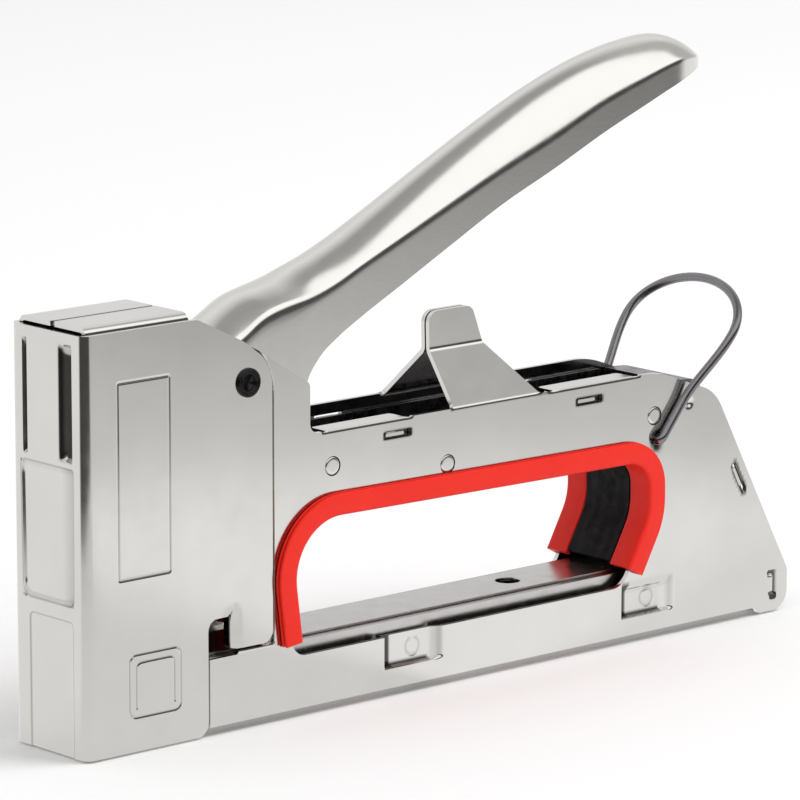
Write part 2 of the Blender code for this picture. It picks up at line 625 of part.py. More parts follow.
def staple_strip():
    """A stick of glued staples astride the rail."""
    return channel("staple_strip", STAPLE_HALF, STAPLE_FOOT, CROWN_TOP, STAPLE_WIRE, 4.6 * MM, STICK_END,
                   STAPLE)


def staple_rail():
    """The sliding rail that the staples ride on."""
    return channel("staple_rail", RAIL_HALF, RAIL_FOOT, RAIL_TOP, MAGAZINE_SHEET, 4.8 * MM, TAIL_INNER, DARK)


def staple_pusher():
    """A saddle astride the rail, with a core inside it that slides on the guide rod."""
    start, end = STICK_END + GAP, STICK_END + 14 * MM
    foot = RAIL_FOOT - 1.2 * MM
    block = box("staple_pusher", (start, -STAPLE_HALF, foot), (end, STAPLE_HALF, CROWN_TOP), mat=DARK)
    room = RAIL_HALF + GAP
    slot = box("pusher_slot", (start - 1 * MM, -room, RAIL_FOOT - GAP), (end + 1 * MM, room, RAIL_TOP + GAP),
               as_cutter=True)
    core_half = RAIL_HALF - MAGAZINE_SHEET - GAP
    core = box("pusher_core", (start, -core_half, foot + 0.1 * MM),
               (end, core_half, RAIL_TOP - MAGAZINE_SHEET - GAP), as_cutter=True)
    bore = rod("pusher_bore", (start - 1 * MM, 0, ROD_Z), (end + 1 * MM, 0, ROD_Z), ROD_RADIUS + GAP,
               as_cutter=True)
    boolean(block, slot, "DIFFERENCE")
    boolean(block, core, "UNION")
    return boolean(block, bore, "DIFFERENCE")


def coil(x0, z0, length, radius, turns, along_x, per_turn=12):
    """Points of a helix that starts at (x0, 0, z0) and runs along X or Z."""
    t = np.linspace(0, 1, turns * per_turn + 1)
    a = 2 * math.pi * turns * t
    c, s = radius * np.cos(a), radius * np.sin(a)
    if along_x:
        return np.stack([x0 + length * t, c, z0 + s], axis=1)
    return np.stack([x0 + c, s, z0 + length * t], axis=1)


def magazine_latch():
    """The tail piece of the drawer: an upright with a thumb lip."""
    half = FRAME_HALF - 1.4 * MM
    front = TAIL_INNER + GAP
    latch = box("magazine_latch", (front, -half, 2.6 * MM), (front + 2.4 * MM, half, MAGAZINE_TOP - 0.4 * MM),
                mat=BLACK)
    lip = box("latch_lip", (front + 2.2 * MM, -half + 1 * MM, 3.2 * MM),
              (LENGTH - 0.5 * MM, half - 1 * MM, 5.4 * MM), as_cutter=True)
    boolean(latch, lip, "UNION")
    hole = rod("latch_hole", (front - 1 * MM, 0, ROD_Z), (front + 4 * MM, 0, ROD_Z), ROD_RADIUS + GAP,
               as_cutter=True)
    return boolean(latch, hole, "DIFFERENCE")


# ---- striking gear ----------------------------------------------------------------------------
BLADE_X = 3.2 * MM
BLADE_SHEET = 0.8 * MM
STRIKER_FRONT = BLADE_X + BLADE_SHEET + GAP
SHELF_TOP = STRIKER_FOOT - 5.1 * MM
SPRING_FOOT = STRIKER_TOP + SPRING_WIRE + 0.1 * MM
SPRING_HEAD = CAP_FOOT - SPRING_WIRE - 0.1 * MM


def striker():
    """The block that carries the driver blade, with a post for the spring and a slot for the lever."""
    half = NOSE_ROOM - 0.6 * MM
    rear = STRIKER_X + 7.5 * MM
    block = box("striker", (STRIKER_FRONT, -half, STRIKER_FOOT), (rear, half, STRIKER_TOP), mat=DARK)
    post = rod("striker_post", (STRIKER_X, 0, STRIKER_TOP - 1 * MM), (STRIKER_X, 0, STRIKER_TOP + 10 * MM),
               SPRING_RADIUS - SPRING_WIRE - 2 * GAP - 0.4 * MM, as_cutter=True)
    tip_z = LEVER_Z - LEVER_ARM * math.sin(LEVER_TILT)
    slot = box("striker_slot", (STRIKER_X - 0.5 * MM, -3.2 * MM, tip_z - 3.8 * MM),
               (rear + 1 * MM, 3.2 * MM, tip_z + 3.9 * MM), as_cutter=True)
    boolean(block, post, "UNION")
    return boolean(block, slot, "DIFFERENCE")


def driver_blade():
    """The thin blade that drives one staple."""
    return box("driver_blade", (BLADE_X, -STAPLE_HALF + 0.1 * MM, 0.8 * MM),
               (BLADE_X + BLADE_SHEET, STAPLE_HALF - 0.1 * MM, STRIKER_TOP - 2 * MM), mat=BRIGHT)


def nose_guide():
    """The plate that the blade slides on, behind the cover's front wall."""
    return box("nose_guide", (SHEET + 0.4 * MM, -NOSE_ROOM, 0.4 * MM), (BLADE_X - GAP, NOSE_ROOM, SHELF_TOP),
               mat=DARK)


def blade_guide():
    """The plate behind the blade, with the shelf that takes the bumper."""
    front = STRIKER_FRONT
    guide = box("blade_guide", (front, -NOSE_ROOM, MAGAZINE_TOP + 0.5 * MM),
                (front + 1.6 * MM, NOSE_ROOM, SHELF_TOP), mat=DARK)
    shelf = box("blade_guide_shelf", (front + 0.5 * MM, -NOSE_ROOM + 0.05 * MM, SHELF_TOP - 1.6 * MM),
                (front + 19.5 * MM, NOSE_ROOM - 0.05 * MM, SHELF_TOP - 0.01 * MM), as_cutter=True)
    return boolean(guide, shelf, "UNION")


def striker_bumper():
    """The rubber block that stops the striker."""
    half = NOSE_ROOM - 1.1 * MM
    return box("striker_bumper", (STRIKER_FRONT + 1 * MM, -half, SHELF_TOP + GAP),
               (STRIKER_X + 8.5 * MM, half, STRIKER_FOOT - GAP), mat=RUBBER)


def spring_cap():
    """The fixed upper seat of the main spring."""
    cap = box("spring_cap", (STRIKER_FRONT, -NOSE_ROOM, CAP_FOOT), (STRIKER_X + 9.5 * MM, NOSE_ROOM,
              ROOF_TOP - SHEET - GAP), mat=DARK)
    post = rod("cap_post", (STRIKER_X, 0, CAP_FOOT - 3 * MM), (STRIKER_X, 0, CAP_FOOT + 0.5 * MM),
               SPRING_RADIUS - SPRING_WIRE - 2 * GAP - 0.4 * MM, as_cutter=True)
    return boolean(cap, post, "UNION")


def lift_lever():
    """The rocking lever: a long arm into the striker's slot and a short arm under the handle's pin."""
    long_arm = Vector((-math.cos(LEVER_TILT), -math.sin(LEVER_TILT)))
    side = Vector((-long_arm.y, long_arm.x))
    pivot = Vector((LEVER_X, LEVER_Z))
    tip = pivot + long_arm * LEVER_ARM
    heel = pivot + Vector((math.cos(math.radians(50)), math.sin(math.radians(50)))) * 8.4 * MM
    corners = [tip + side * 1.7 * MM + long_arm * 1.5 * MM, pivot + side * 4.2 * MM + long_arm * 5 * MM,
               pivot + Vector((3.4, -4.0)) * MM, heel + Vector((2.2, -0.6)) * MM,
               heel + Vector((0.6, 2.2)) * MM, heel + Vector((-1.9, 1.0)) * MM,
               pivot - side * 4.0 * MM + long_arm * 4 * MM,
               tip - side * 1.7 * MM + long_arm * 1.5 * MM]
    radii = [1.4, 3, 3, 1.6, 1.4, 1.6, 3, 1.4]
    outline = bent([(c.x, c.y, r * MM) for c, r in zip(corners, radii)])
    lever = prism("lift_lever", [outline, disc(LEVER_X, LEVER_Z, LEVER_PIN_RADIUS + 0.1 * MM)], "y",
                  -2.5 * MM, 2.5 * MM, mat=DARK)
    return set_origin(lever, (LEVER_X, 0, LEVER_Z))


# ---- handle -----------------------------------------------------------------------------------
PUSH_PIN = (50.6 * MM, 60.3 * MM)
PUSH_PIN_RADIUS = 1.5 * MM


def handle_ring(x, low, side, top, half):
    """One section of the handle: straight flanks and an elliptic crown."""
    t = np.linspace(0, math.pi, 13)
    y = -half * np.cos(t)
    z = side + (top - side) * np.sin(t) ** 0.85
    rim = np.stack([np.full_like(y, x), y, z], axis=1)
    return np.vstack([[x, -half, low], rim, [x, half, low]])


def loft(name, rings, mat=None, as_cutter=False):
    """A closed solid through rings that have the same number of points."""
    count = len(rings[0])
    mesh = bpy.data.meshes.new(name)
    faces = [list(range(count)), [(len(rings) - 1) * count + k for k in range(count)][::-1]]
    for i in range(len(rings) - 1):
        for k in range(count):
            n = (k + 1) % count
            faces.append([i * count + k, (i + 1) * count + k, (i + 1) * count + n, i * count + n])
    mesh.from_pydata(np.vstack(rings).tolist(), [], faces)
    bm = bmesh.new()
    bm.from_mesh(mesh)
    bmesh.ops.recalc_face_normals(bm, faces=bm.faces)
    bm.to_mesh(mesh)
    bm.free()
    return smooth(place(bpy.data.objects.new(name, mesh), mat, as_cutter))


def handle():
    """The pressed lever: a shell open below, with bores for its pivot and its push pin."""
    outer = loft("handle", [handle_ring(*station) for station in HANDLE], SATIN)
    inner = []
    for x, low, side, top, half in HANDLE[:-2]:
        inner.append(handle_ring(x, low - 8 * MM, side - 0.3 * HANDLE_WALL, top - HANDLE_WALL,
                                 half - HANDLE_WALL))
    first = inner[0].copy()
    first[:, 0] -= 5 * MM
    hollow = loft("handle_hollow", [first] + inner, as_cutter=True)
    boolean(outer, hollow, "DIFFERENCE")
    bores = [("pivot", (PIVOT_X, PIVOT_Z), PIVOT_RADIUS), ("push", PUSH_PIN, PUSH_PIN_RADIUS)]
    for label, (x, z), radius in bores:
        hole = rod(f"handle_{label}_hole", (x, -BODY_HALF, z), (x, BODY_HALF, z), radius + 0.1 * MM,
                   as_cutter=True, segments=24)
        boolean(outer, hole, "DIFFERENCE")
    return set_origin(outer, (PIVOT_X, 0, PIVOT_Z))


def handle_pivot_pin():
    """The hollow pin that the handle turns on, a turned tube with a chamfered rim at each end."""
    half = COVER_HALF + PIVOT_PROUD
    chamfer = 0.5 * MM
    profile = [(PIVOT_BORE, half), (PIVOT_RADIUS - chamfer, half), (PIVOT_RADIUS, half - chamfer),
               (PIVOT_RADIUS, -half + chamfer), (PIVOT_RADIUS - chamfer, -half), (PIVOT_BORE, -half)]
    mesh = bpy.data.meshes.new("handle_pivot_pin")
    count = len(profile)
    mesh.from_pydata([(r, 0, h) for r, h in profile], [(k, (k + 1) % count) for k in range(count)], [])
    pin = place(bpy.data.objects.new("handle_pivot_pin", mesh), BLACK)
    pin.rotation_euler = (math.pi / 2, 0, 0)
    pin.location = (PIVOT_X, 0, PIVOT_Z)
    turned = pin.modifiers.new("turned", "SCREW")
    turned.steps = turned.render_steps = 28
    turned.use_merge_vertices = True
    turned.merge_threshold = 0.00001
    return pin


# ---- bail -------------------------------------------------------------------------------------
def bail():
    """The wire loop: two legs outside the plates that widen into a round head."""
    leg_y = BODY_HALF + BAIL_WIRE + 0.35 * MM
    head = 28.0 * MM
    rise = np.linspace(0, 1, 9)
    ease = rise * rise * (3 - 2 * rise)
    leg = np.stack([2.0 * MM + (head - 2.0 * MM) * rise, leg_y + (BAIL_BULGE - leg_y) * ease], axis=1)
    turn = np.linspace(0, math.pi / 2, 8)[1:]
    arc = np.stack([head + (BAIL_REACH - head) * np.sin(turn), BAIL_BULGE * np.cos(turn)], axis=1)
    bend = np.array([[0, PLATE_INNER - 0.03 * MM], [0, leg_y - 0.9 * MM], [0.45 * MM, leg_y - 0.2 * MM],
                     [1.2 * MM, leg_y]])
    half = np.vstack([bend, leg, arc])
    flat = np.vstack([half, (half * [1, -1])[::-1][1:]])
    points = [(BAIL_X + r * math.cos(BAIL_LEAN), y, BAIL_Z + r * math.sin(BAIL_LEAN)) for r, y in flat]
    return set_origin(wire("wire_bail", points, BAIL_WIRE, WIRE), (BAIL_X, 0, BAIL_Z))


# ---- assembly ---------------------------------------------------------------------------------
side_plate("left_side_plate", -1)
side_plate("right_side_plate", 1)
front_cover()
grip_trim("left_grip_trim", -1)
grip_trim("right_grip_trim", 1)
grip_web()
beam_frame()
rear_strap()
for side_name, side_sign in (("left", -1), ("right", 1)):
    for spot_name, (rivet_x, rivet_z) in RIVETS.items():
        rivet(f"{side_name}_rivet_{spot_name}", side_sign, rivet_x, rivet_z)

magazine_body()
magazine_cover()
staple_strip()
staple_rail()
staple_pusher()
rod("pusher_rod", (STICK_END - 10 * MM, 0, ROD_Z), (TAIL_INNER + 2.2 * MM, 0, ROD_Z), ROD_RADIUS, mat=BRIGHT)
spring_start = STICK_END + 14 * MM + GAP + 0.4 * MM
wire("pusher_spring", coil(spring_start, ROD_Z, TAIL_INNER - 0.8 * MM - spring_start, 2.6 * MM, 20, True),
     0.35 * MM, WIRE, sides=1)
magazine_latch()

nose_guide()
blade_guide()
driver_blade()
striker()
striker_bumper()
spring_points = coil(STRIKER_X, SPRING_FOOT, SPRING_HEAD - SPRING_FOOT, SPRING_RADIUS, SPRING_TURNS, False)
wire("main_spring", spring_points, SPRING_WIRE, WIRE)
spring_cap()
lift_lever()
pin_half = TONGUE_OUTER - 0.05 * MM
rod("lift_lever_pin", (LEVER_X, -pin_half, LEVER_Z), (LEVER_X, pin_half, LEVER_Z), LEVER_PIN_RADIUS,
    mat=BRIGHT)

handle()
handle_pivot_pin()
push_half = HANDLE[4][4] - 0.15 * MM
push_x, push_z = PUSH_PIN
push_pin = rod("handle_push_pin", (push_x, -push_half, push_z), (push_x, push_half, push_z), PUSH_PIN_RADIUS,
               mat=BRIGHT)
set_origin(push_pin, (PIVOT_X, 0, PIVOT_Z))
bail()
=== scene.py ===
"""Looks of the hand staple gun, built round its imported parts.

The tool's own frame has x from the nose to the tail in millimetres, y across it and z up from the
sole. at() brings such a point to the world, where the middle of the tool is over the origin.
"""

import json
import math

import bmesh
import bpy
import numpy as np
from mathutils import Matrix, Vector

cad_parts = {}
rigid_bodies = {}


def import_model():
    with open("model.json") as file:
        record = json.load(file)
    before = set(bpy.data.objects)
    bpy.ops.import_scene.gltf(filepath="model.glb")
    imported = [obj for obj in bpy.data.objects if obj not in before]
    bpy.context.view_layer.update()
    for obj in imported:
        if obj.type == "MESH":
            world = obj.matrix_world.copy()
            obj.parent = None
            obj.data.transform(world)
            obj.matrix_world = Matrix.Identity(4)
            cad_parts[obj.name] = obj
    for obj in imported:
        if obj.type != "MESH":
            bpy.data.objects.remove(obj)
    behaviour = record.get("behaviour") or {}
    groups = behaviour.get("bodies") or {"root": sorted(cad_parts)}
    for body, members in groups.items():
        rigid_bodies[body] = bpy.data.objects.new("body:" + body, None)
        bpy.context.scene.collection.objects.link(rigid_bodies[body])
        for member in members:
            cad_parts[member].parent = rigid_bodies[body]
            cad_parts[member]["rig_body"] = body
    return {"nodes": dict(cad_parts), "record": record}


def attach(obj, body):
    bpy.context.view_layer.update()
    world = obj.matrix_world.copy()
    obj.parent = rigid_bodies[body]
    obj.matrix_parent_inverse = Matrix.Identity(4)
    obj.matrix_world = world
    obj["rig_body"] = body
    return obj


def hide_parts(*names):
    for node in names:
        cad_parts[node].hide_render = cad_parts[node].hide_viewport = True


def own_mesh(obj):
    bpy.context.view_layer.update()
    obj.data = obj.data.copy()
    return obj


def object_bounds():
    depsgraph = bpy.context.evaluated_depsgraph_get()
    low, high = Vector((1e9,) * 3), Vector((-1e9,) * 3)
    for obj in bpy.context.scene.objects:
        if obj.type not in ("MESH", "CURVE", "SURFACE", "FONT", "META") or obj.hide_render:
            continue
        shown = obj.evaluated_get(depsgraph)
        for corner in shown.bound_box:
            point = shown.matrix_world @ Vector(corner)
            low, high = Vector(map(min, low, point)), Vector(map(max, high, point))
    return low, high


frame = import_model()
cad_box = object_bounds()
nodes = frame["nodes"]

MM = 0.001
NOSE = cad_box[0].x            # world x of the tool's front


# ---- the tool's own millimetres ------------------------------------------------------------------------
def at(points):
    """Points in the tool's millimetres as world metres, any array whose last axis is x, y, z."""
    return np.asarray(points, float) * MM + np.array([NOSE, 0, 0])


# ---- materials -----------------------------------------------------------------------------------------
def linear(code):
    """An sRGB hex colour as linear red, green, blue and alpha 1."""
    channels = [int(code[i:i + 2], 16) / 255 for i in (1, 3, 5)]
    return tuple(c / 12.92 if c <= 0.04045 else ((c + 0.055) / 1.055) ** 2.4 for c in channels) + (1,)


def add(mat, kind, settings=None, links=None):
    """Adds one node: settings fill its own properties, its sockets or a ramp's stops, links feed it."""
    made = mat.node_tree.nodes.new(kind)
    for key, value in (settings or {}).items():
        if key == "stops":
            points = made.color_ramp.elements
            for point, (position, grey) in zip(points, (value[0], value[-1])):
                point.position, point.color = position, (grey, grey, grey, 1)
            for position, grey in value[1:-1]:
                points.new(position).color = (grey, grey, grey, 1)
        elif isinstance(key, str) and hasattr(made, key):
            setattr(made, key, value)
        else:
            made.inputs[key].default_value = value
    for key, source in (links or {}).items():
        mat.node_tree.links.new(source, made.inputs[key])
    return made


def surface(name, colour, metallic, roughness, others=None):
    """A material whose Principled shader has these constant values, with its Object coordinates."""
    mat = bpy.data.materials.new(name)
    mat.use_nodes = True
    shader = mat.node_tree.nodes["Principled BSDF"]
    values = {"Base Color": linear(colour), "Metallic": metallic, "Roughness": roughness, **(others or {})}
    for socket, value in values.items():
        shader.inputs[socket].default_value = value
    place = add(mat, "ShaderNodeTexCoord").outputs["Object"]
    return mat, shader, place


def feed(mat, shader, links):
    """Links patterns to the shader's sockets."""
    for socket, source in links.items():
        mat.node_tree.links.new(source, shader.inputs[socket])


def polished_nickel_plate():
    """Bright nickel on cold-rolled sheet: a mirror that is warm grey, slightly uneven from rolling, with
    faint buffing haze, and with painted shade, a near-black grey, in its stamped lines, grooves and gaps, for
    the shade and dark reflections there."""
    mat, shader, place = surface("polished_nickel_plate_on_rolled_steel", "#CFCDC9", 1.0, 0.16)
    haze = add(mat, "ShaderNodeTexNoise", {"Scale": 70, "Detail": 4}, {"Vector": place})
    buffed = add(mat, "ShaderNodeMix", {"data_type": "RGBA", "A": linear("#C8C6C3"), "B": linear("#D5D3CF")},
                 {"Factor": haze.outputs["Fac"]})
    # painted shade: a point attribute of the mesh mixes in a near-black, for the shade and dark reflections
    # in grooves, stamped lines and gaps
    crease = add(mat, "ShaderNodeAttribute", {"attribute_name": "crease"}).outputs["Fac"]
    painted_shade_mix = add(mat, "ShaderNodeMix", {"data_type": "RGBA", "B": linear("#1E1B1E")},
                 {"Factor": crease, "A": buffed.outputs["Result"]})
    smear = add(mat, "ShaderNodeTexNoise", {"Scale": 200, "Detail": 5, "Roughness": 0.6}, {"Vector": place})
    gloss = add(mat, "ShaderNodeMapRange", {1: 0.3, 2: 0.7, 3: 0.10, 4: 0.17}, {0: smear.outputs["Fac"]})
    roll = add(mat, "ShaderNodeTexNoise", {"Scale": 45, "Detail": 1}, {"Vector": place})
    grit = add(mat, "ShaderNodeTexNoise", {"Scale": 2800, "Detail": 2}, {"Vector": place})
    wave = add(mat, "ShaderNodeBump", {"Strength": 0.12, "Distance": 0.5 * MM},
               {"Height": roll.outputs["Fac"]})
    fine = add(mat, "ShaderNodeBump", {"Strength": 0.03, "Distance": 0.02 * MM},
               {"Height": grit.outputs["Fac"], "Normal": wave.outputs[0]})
    feed(mat, shader, {"Base Color": painted_shade_mix.outputs["Result"], "Roughness": gloss.outputs[0],
                       "Normal": fine.outputs[0]})
    return mat


def dull_nickel_plate():
    """Nickel plate left as it comes from the bath, inside the tool: greyer, with softer mirrorings."""
    mat, shader, place = surface("unbuffed_nickel_plate", "#BAB8B6", 1.0, 0.24)
    smear = add(mat, "ShaderNodeTexNoise", {"Scale": 250, "Detail": 2}, {"Vector": place})
    gloss = add(mat, "ShaderNodeMapRange", {1: 0.3, 2: 0.7, 3: 0.20, 4: 0.28}, {0: smear.outputs["Fac"]})
    feed(mat, shader, {"Roughness": gloss.outputs[0]})
    return mat


def satin_chrome():
    """Satin chrome on a pressed lever: a softer mirror with a grained, slightly pebbled skin."""
    mat, shader, place = surface("satin_chrome_on_pressed_steel", "#D4D2CE", 1.0, 0.17)
    smear = add(mat, "ShaderNodeTexNoise", {"Scale": 330, "Detail": 5, "Roughness": 0.6}, {"Vector": place})
    gloss = add(mat, "ShaderNodeMapRange", {1: 0.3, 2: 0.7, 3: 0.13, 4: 0.21}, {0: smear.outputs["Fac"]})
    pebble = add(mat, "ShaderNodeTexNoise", {"Scale": 1250, "Detail": 4, "Roughness": 0.6}, {"Vector": place})
    bump = add(mat, "ShaderNodeBump", {"Strength": 0.14, "Distance": 0.05 * MM},
               {"Height": pebble.outputs["Fac"]})
    feed(mat, shader, {"Roughness": gloss.outputs[0], "Normal": bump.outputs[0]})
    return mat


def drawn_spring_wire():
    """Hard-drawn spring wire: a dark grey mirror, drawn smooth, a little uneven along its length."""
    mat, shader, place = surface("drawn_spring_wire", "#7E7B7E", 1.0, 0.24)
    smear = add(mat, "ShaderNodeTexNoise", {"Scale": 250, "Detail": 3}, {"Vector": place})
    gloss = add(mat, "ShaderNodeMapRange", {1: 0.3, 2: 0.7, 3: 0.20, 4: 0.30}, {0: smear.outputs["Fac"]})
    colour = add(mat, "ShaderNodeMix", {"data_type": "RGBA", "A": linear("#787578"), "B": linear("#868386")},
                 {"Factor": smear.outputs["Fac"]})
    feed(mat, shader, {"Base Color": colour.outputs["Result"], "Roughness": gloss.outputs[0]})
    return mat


def oiled_steel():
    """Plain hardened steel under a film of oil: dark grey, uneven."""
    mat, shader, place = surface("oiled_hardened_steel", "#6C6A6D", 1.0, 0.32)
    cloud = add(mat, "ShaderNodeTexNoise", {"Scale": 250, "Detail": 5, "Roughness": 0.6}, {"Vector": place})
    film = add(mat, "ShaderNodeTexNoise", {"Scale": 500, "Detail": 4}, {"Vector": place})
    colour = add(mat, "ShaderNodeMix", {"data_type": "RGBA", "A": linear("#5A585C"), "B": linear("#807E81")},
                 {"Factor": cloud.outputs["Fac"]})
    gloss = add(mat, "ShaderNodeMapRange", {1: 0.3, 2: 0.7, 3: 0.20, 4: 0.40}, {0: film.outputs["Fac"]})
    feed(mat, shader, {"Base Color": colour.outputs["Result"], "Roughness": gloss.outputs[0]})
    return mat


def black_oxide():
    """Blackened turned steel: almost black, with a soft sheen on its rims."""
    mat, shader, place = surface("black_oxide_on_turned_steel", "#151416", 0.6, 0.3)
    smear = add(mat, "ShaderNodeTexNoise", {"Scale": 1250, "Detail": 4}, {"Vector": place})
    gloss = add(mat, "ShaderNodeMapRange", {1: 0.3, 2: 0.7, 3: 0.22, 4: 0.40}, {0: smear.outputs["Fac"]})
    feed(mat, shader, {"Roughness": gloss.outputs[0]})
    return mat


def red_edging():
    """Soft moulded plastic, red right through: an even satin skin with a very fine grain."""
    mat, shader, place = surface("red_soft_moulded_plastic", "#F0281A", 0.0, 0.5, {"Specular IOR Level": 0.3})
    cloud = add(mat, "ShaderNodeTexNoise", {"Scale": 110, "Detail": 3}, {"Vector": place})
    colour = add(mat, "ShaderNodeMix", {"data_type": "RGBA", "A": linear("#EA2314"), "B": linear("#F42C1D")},
                 {"Factor": cloud.outputs["Fac"]})
    grain = add(mat, "ShaderNodeTexNoise", {"Scale": 3300, "Detail": 2}, {"Vector": place})
    bump = add(mat, "ShaderNodeBump", {"Strength": 0.08, "Distance": 0.04 * MM},
               {"Height": grain.outputs["Fac"]})
    smear = add(mat, "ShaderNodeTexNoise", {"Scale": 670, "Detail": 3}, {"Vector": place})
    gloss = add(mat, "ShaderNodeMapRange", {1: 0.3, 2: 0.7, 3: 0.44, 4: 0.56}, {0: smear.outputs["Fac"]})
    feed(mat, shader, {"Base Color": colour.outputs["Result"], "Roughness": gloss.outputs[0],
                       "Normal": bump.outputs[0]})
    return mat


def black_web_plastic():
    """Black moulded plastic with a dull skin."""
    mat, shader, place = surface("black_moulded_plastic", "#050405", 0.0, 0.6, {"Specular IOR Level": 0.2})
    grain = add(mat, "ShaderNodeTexNoise", {"Scale": 2500, "Detail": 2}, {"Vector": place})
    bump = add(mat, "ShaderNodeBump", {"Strength": 0.15, "Distance": 0.05 * MM},
               {"Height": grain.outputs["Fac"]})
    smear = add(mat, "ShaderNodeTexNoise", {"Scale": 500, "Detail": 4}, {"Vector": place})
    gloss = add(mat, "ShaderNodeMapRange", {1: 0.3, 2: 0.7, 3: 0.5, 4: 0.7}, {0: smear.outputs["Fac"]})
    feed(mat, shader, {"Roughness": gloss.outputs[0], "Normal": bump.outputs[0]})
    return mat


STAPLE_WIRE = 0.6 * MM


def galvanised_staples():
    """Glued galvanised staples: each wire shows as one rib across the stick, with a painted highlight on its
    crest and painted shade between the wires.
    """
    mat, shader, place = surface("galvanised_staple_wire", "#B9BCBE", 1.0, 0.3)
    ribs = add(mat, "ShaderNodeTexWave", {"wave_type": "BANDS", "bands_direction": "X",
                                          "Scale": 2 * math.pi / (20 * STAPLE_WIRE)}, {"Vector": place})
    bump = add(mat, "ShaderNodeBump", {"Strength": 0.8, "Distance": 0.2 * MM},
               {"Height": ribs.outputs["Fac"]})
    # painted highlight on each wire's crest and painted shade between the wires, following the ribs
    colour = add(mat, "ShaderNodeMix", {"data_type": "RGBA", "A": linear("#8D8F90"), "B": linear("#C6C9CB")},
                 {"Factor": ribs.outputs["Fac"]})
    feed(mat, shader, {"Base Color": colour.outputs["Result"], "Normal": bump.outputs[0]})
    return mat


def bumper_rubber():
    """Moulded black rubber: matt, a little grey on its skin."""
    mat, shader, place = surface("moulded_bumper_rubber", "#202022", 0.0, 0.8)
    cloud = add(mat, "ShaderNodeTexNoise", {"Scale": 500, "Detail": 4}, {"Vector": place})
    colour = add(mat, "ShaderNodeMix", {"data_type": "RGBA", "A": linear("#1A1A1C"), "B": linear("#2A2A2C")},
                 {"Factor": cloud.outputs["Fac"]})
    feed(mat, shader, {"Base Color": colour.outputs["Result"]})
    return mat


FINISH = {"plated_steel": polished_nickel_plate(), "handle_steel": satin_chrome(),
          "spring_wire": drawn_spring_wire(), "inner_steel": oiled_steel(), "black_steel": black_oxide(),
          "red_trim": red_edging(), "black_web": black_web_plastic(), "staple_wire": galvanised_staples(),
          "bumper_rubber": bumper_rubber()}
UNBUFFED = dull_nickel_plate()
SLOT_OF = {part["node"]: part["material_slot"] for part in frame["record"]["subparts"]}


# ---- pieces --------------------------------------------------------------------------------------------
def piece(name, mesh, stands_for=None, slot="plated_steel", finish=None):
    """Puts a finished mesh in the scene. It rides with, replaces and is painted as its CAD node; one
    that stands for none rides with the frame."""
    obj = bpy.data.objects.new(name, mesh)
    bpy.context.scene.collection.objects.link(obj)
    body = "frame"
    if stands_for:
        slot, body = SLOT_OF[stands_for], nodes[stands_for]["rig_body"]
        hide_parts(stands_for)
    obj.data.materials.clear()
    obj.data.materials.append(finish or FINISH[slot])
    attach(obj, body)
    return obj


def rounded_edges(obj, width_mm, least_angle):
    """Rounds the edges of a piece that turn by more than least_angle, in degrees."""
    bevel = obj.modifiers.new("rounded_edges", "BEVEL")
    bevel.width = width_mm * MM
    bevel.segments = 2
    bevel.limit_method = "ANGLE"
    bevel.angle_limit = math.radians(least_angle)
    return bevel


def softened(node, width_mm=0.12, half_mm=None, finish=None):
    """A CAD node's copy with its flat faces merged and its edges rounded; nothing of it stands
    further than half_mm from the tool's middle, where that is given."""
    mesh = nodes[node].data.copy()
    bm = bmesh.new()
    bm.from_mesh(mesh)
    bmesh.ops.remove_doubles(bm, verts=bm.verts, dist=0.002 * MM)
    bmesh.ops.dissolve_limit(bm, angle_limit=math.radians(0.5), verts=bm.verts, edges=bm.edges)
    bm.to_mesh(mesh)
    bm.free()
    if half_mm:
        place = np.empty(len(mesh.vertices) * 3)
        mesh.vertices.foreach_get("co", place)
        place[1::3] = np.clip(place[1::3], -half_mm * MM, half_mm * MM)
        mesh.vertices.foreach_set("co", place)
    obj = piece(node + "_finished", mesh, node, finish=finish)
    mesh.shade_smooth()
    rounded_edges(obj, width_mm, 35).use_clamp_overlap = True
    flat = obj.modifiers.new("flat_faces_stay_flat", "WEIGHTED_NORMAL")
    flat.mode = "FACE_AREA"
    flat.weight = 100
    flat.keep_sharp = True


# ---- outlines and grids --------------------------------------------------------------------------------
def rounded(corners, closed=True, step=0.3):
    """Corners (u, v, radius) joined by straight runs and tangent arcs: centre + radius (cos, sin)."""
    points = []
    count = len(corners)
    for k, (u, v, radius) in enumerate(corners):
        here = np.array([u, v], float)
        if radius <= 0 or (not closed and k in (0, count - 1)):
            points.append(here[None])
            continue
        back = np.array(corners[k - 1][:2], float) - here
        ahead = np.array(corners[(k + 1) % count][:2], float) - here
        long_back, long_ahead = np.linalg.norm(back), np.linalg.norm(ahead)
        back, ahead = back / long_back, ahead / long_ahead
        half = math.acos(np.clip(back @ ahead, -1, 1)) / 2
        share_back = 0.98 if corners[k - 1][2] == 0 else 0.49
        share_ahead = 0.98 if corners[(k + 1) % count][2] == 0 else 0.49
        reach = min(radius / math.tan(half), share_back * long_back, share_ahead * long_ahead)
        radius = reach * math.tan(half)
        middle = (back + ahead) / np.linalg.norm(back + ahead)
        centre = here + middle * radius / math.sin(half)
        sweep = math.pi - 2 * half
        t = np.linspace(-sweep / 2, sweep / 2, max(3, int(radius * sweep / step) + 2))
        side = np.array([-middle[1], middle[0]])
        if side @ back < 0:
            side = -side
        points.append(centre - radius * (np.cos(t)[:, None] * middle + np.sin(t)[:, None] * side))
    return np.vstack(points)


def resampled(path, step):
    """An open path with points a step apart along its length, its ends kept."""
    run = np.concatenate([[0], np.cumsum(np.linalg.norm(np.diff(path, axis=0), axis=1))])
    t = np.linspace(0, run[-1], max(2, int(run[-1] / step) + 1))
    return np.stack([np.interp(t, run, path[:, k]) for k in range(path.shape[1])], axis=1)


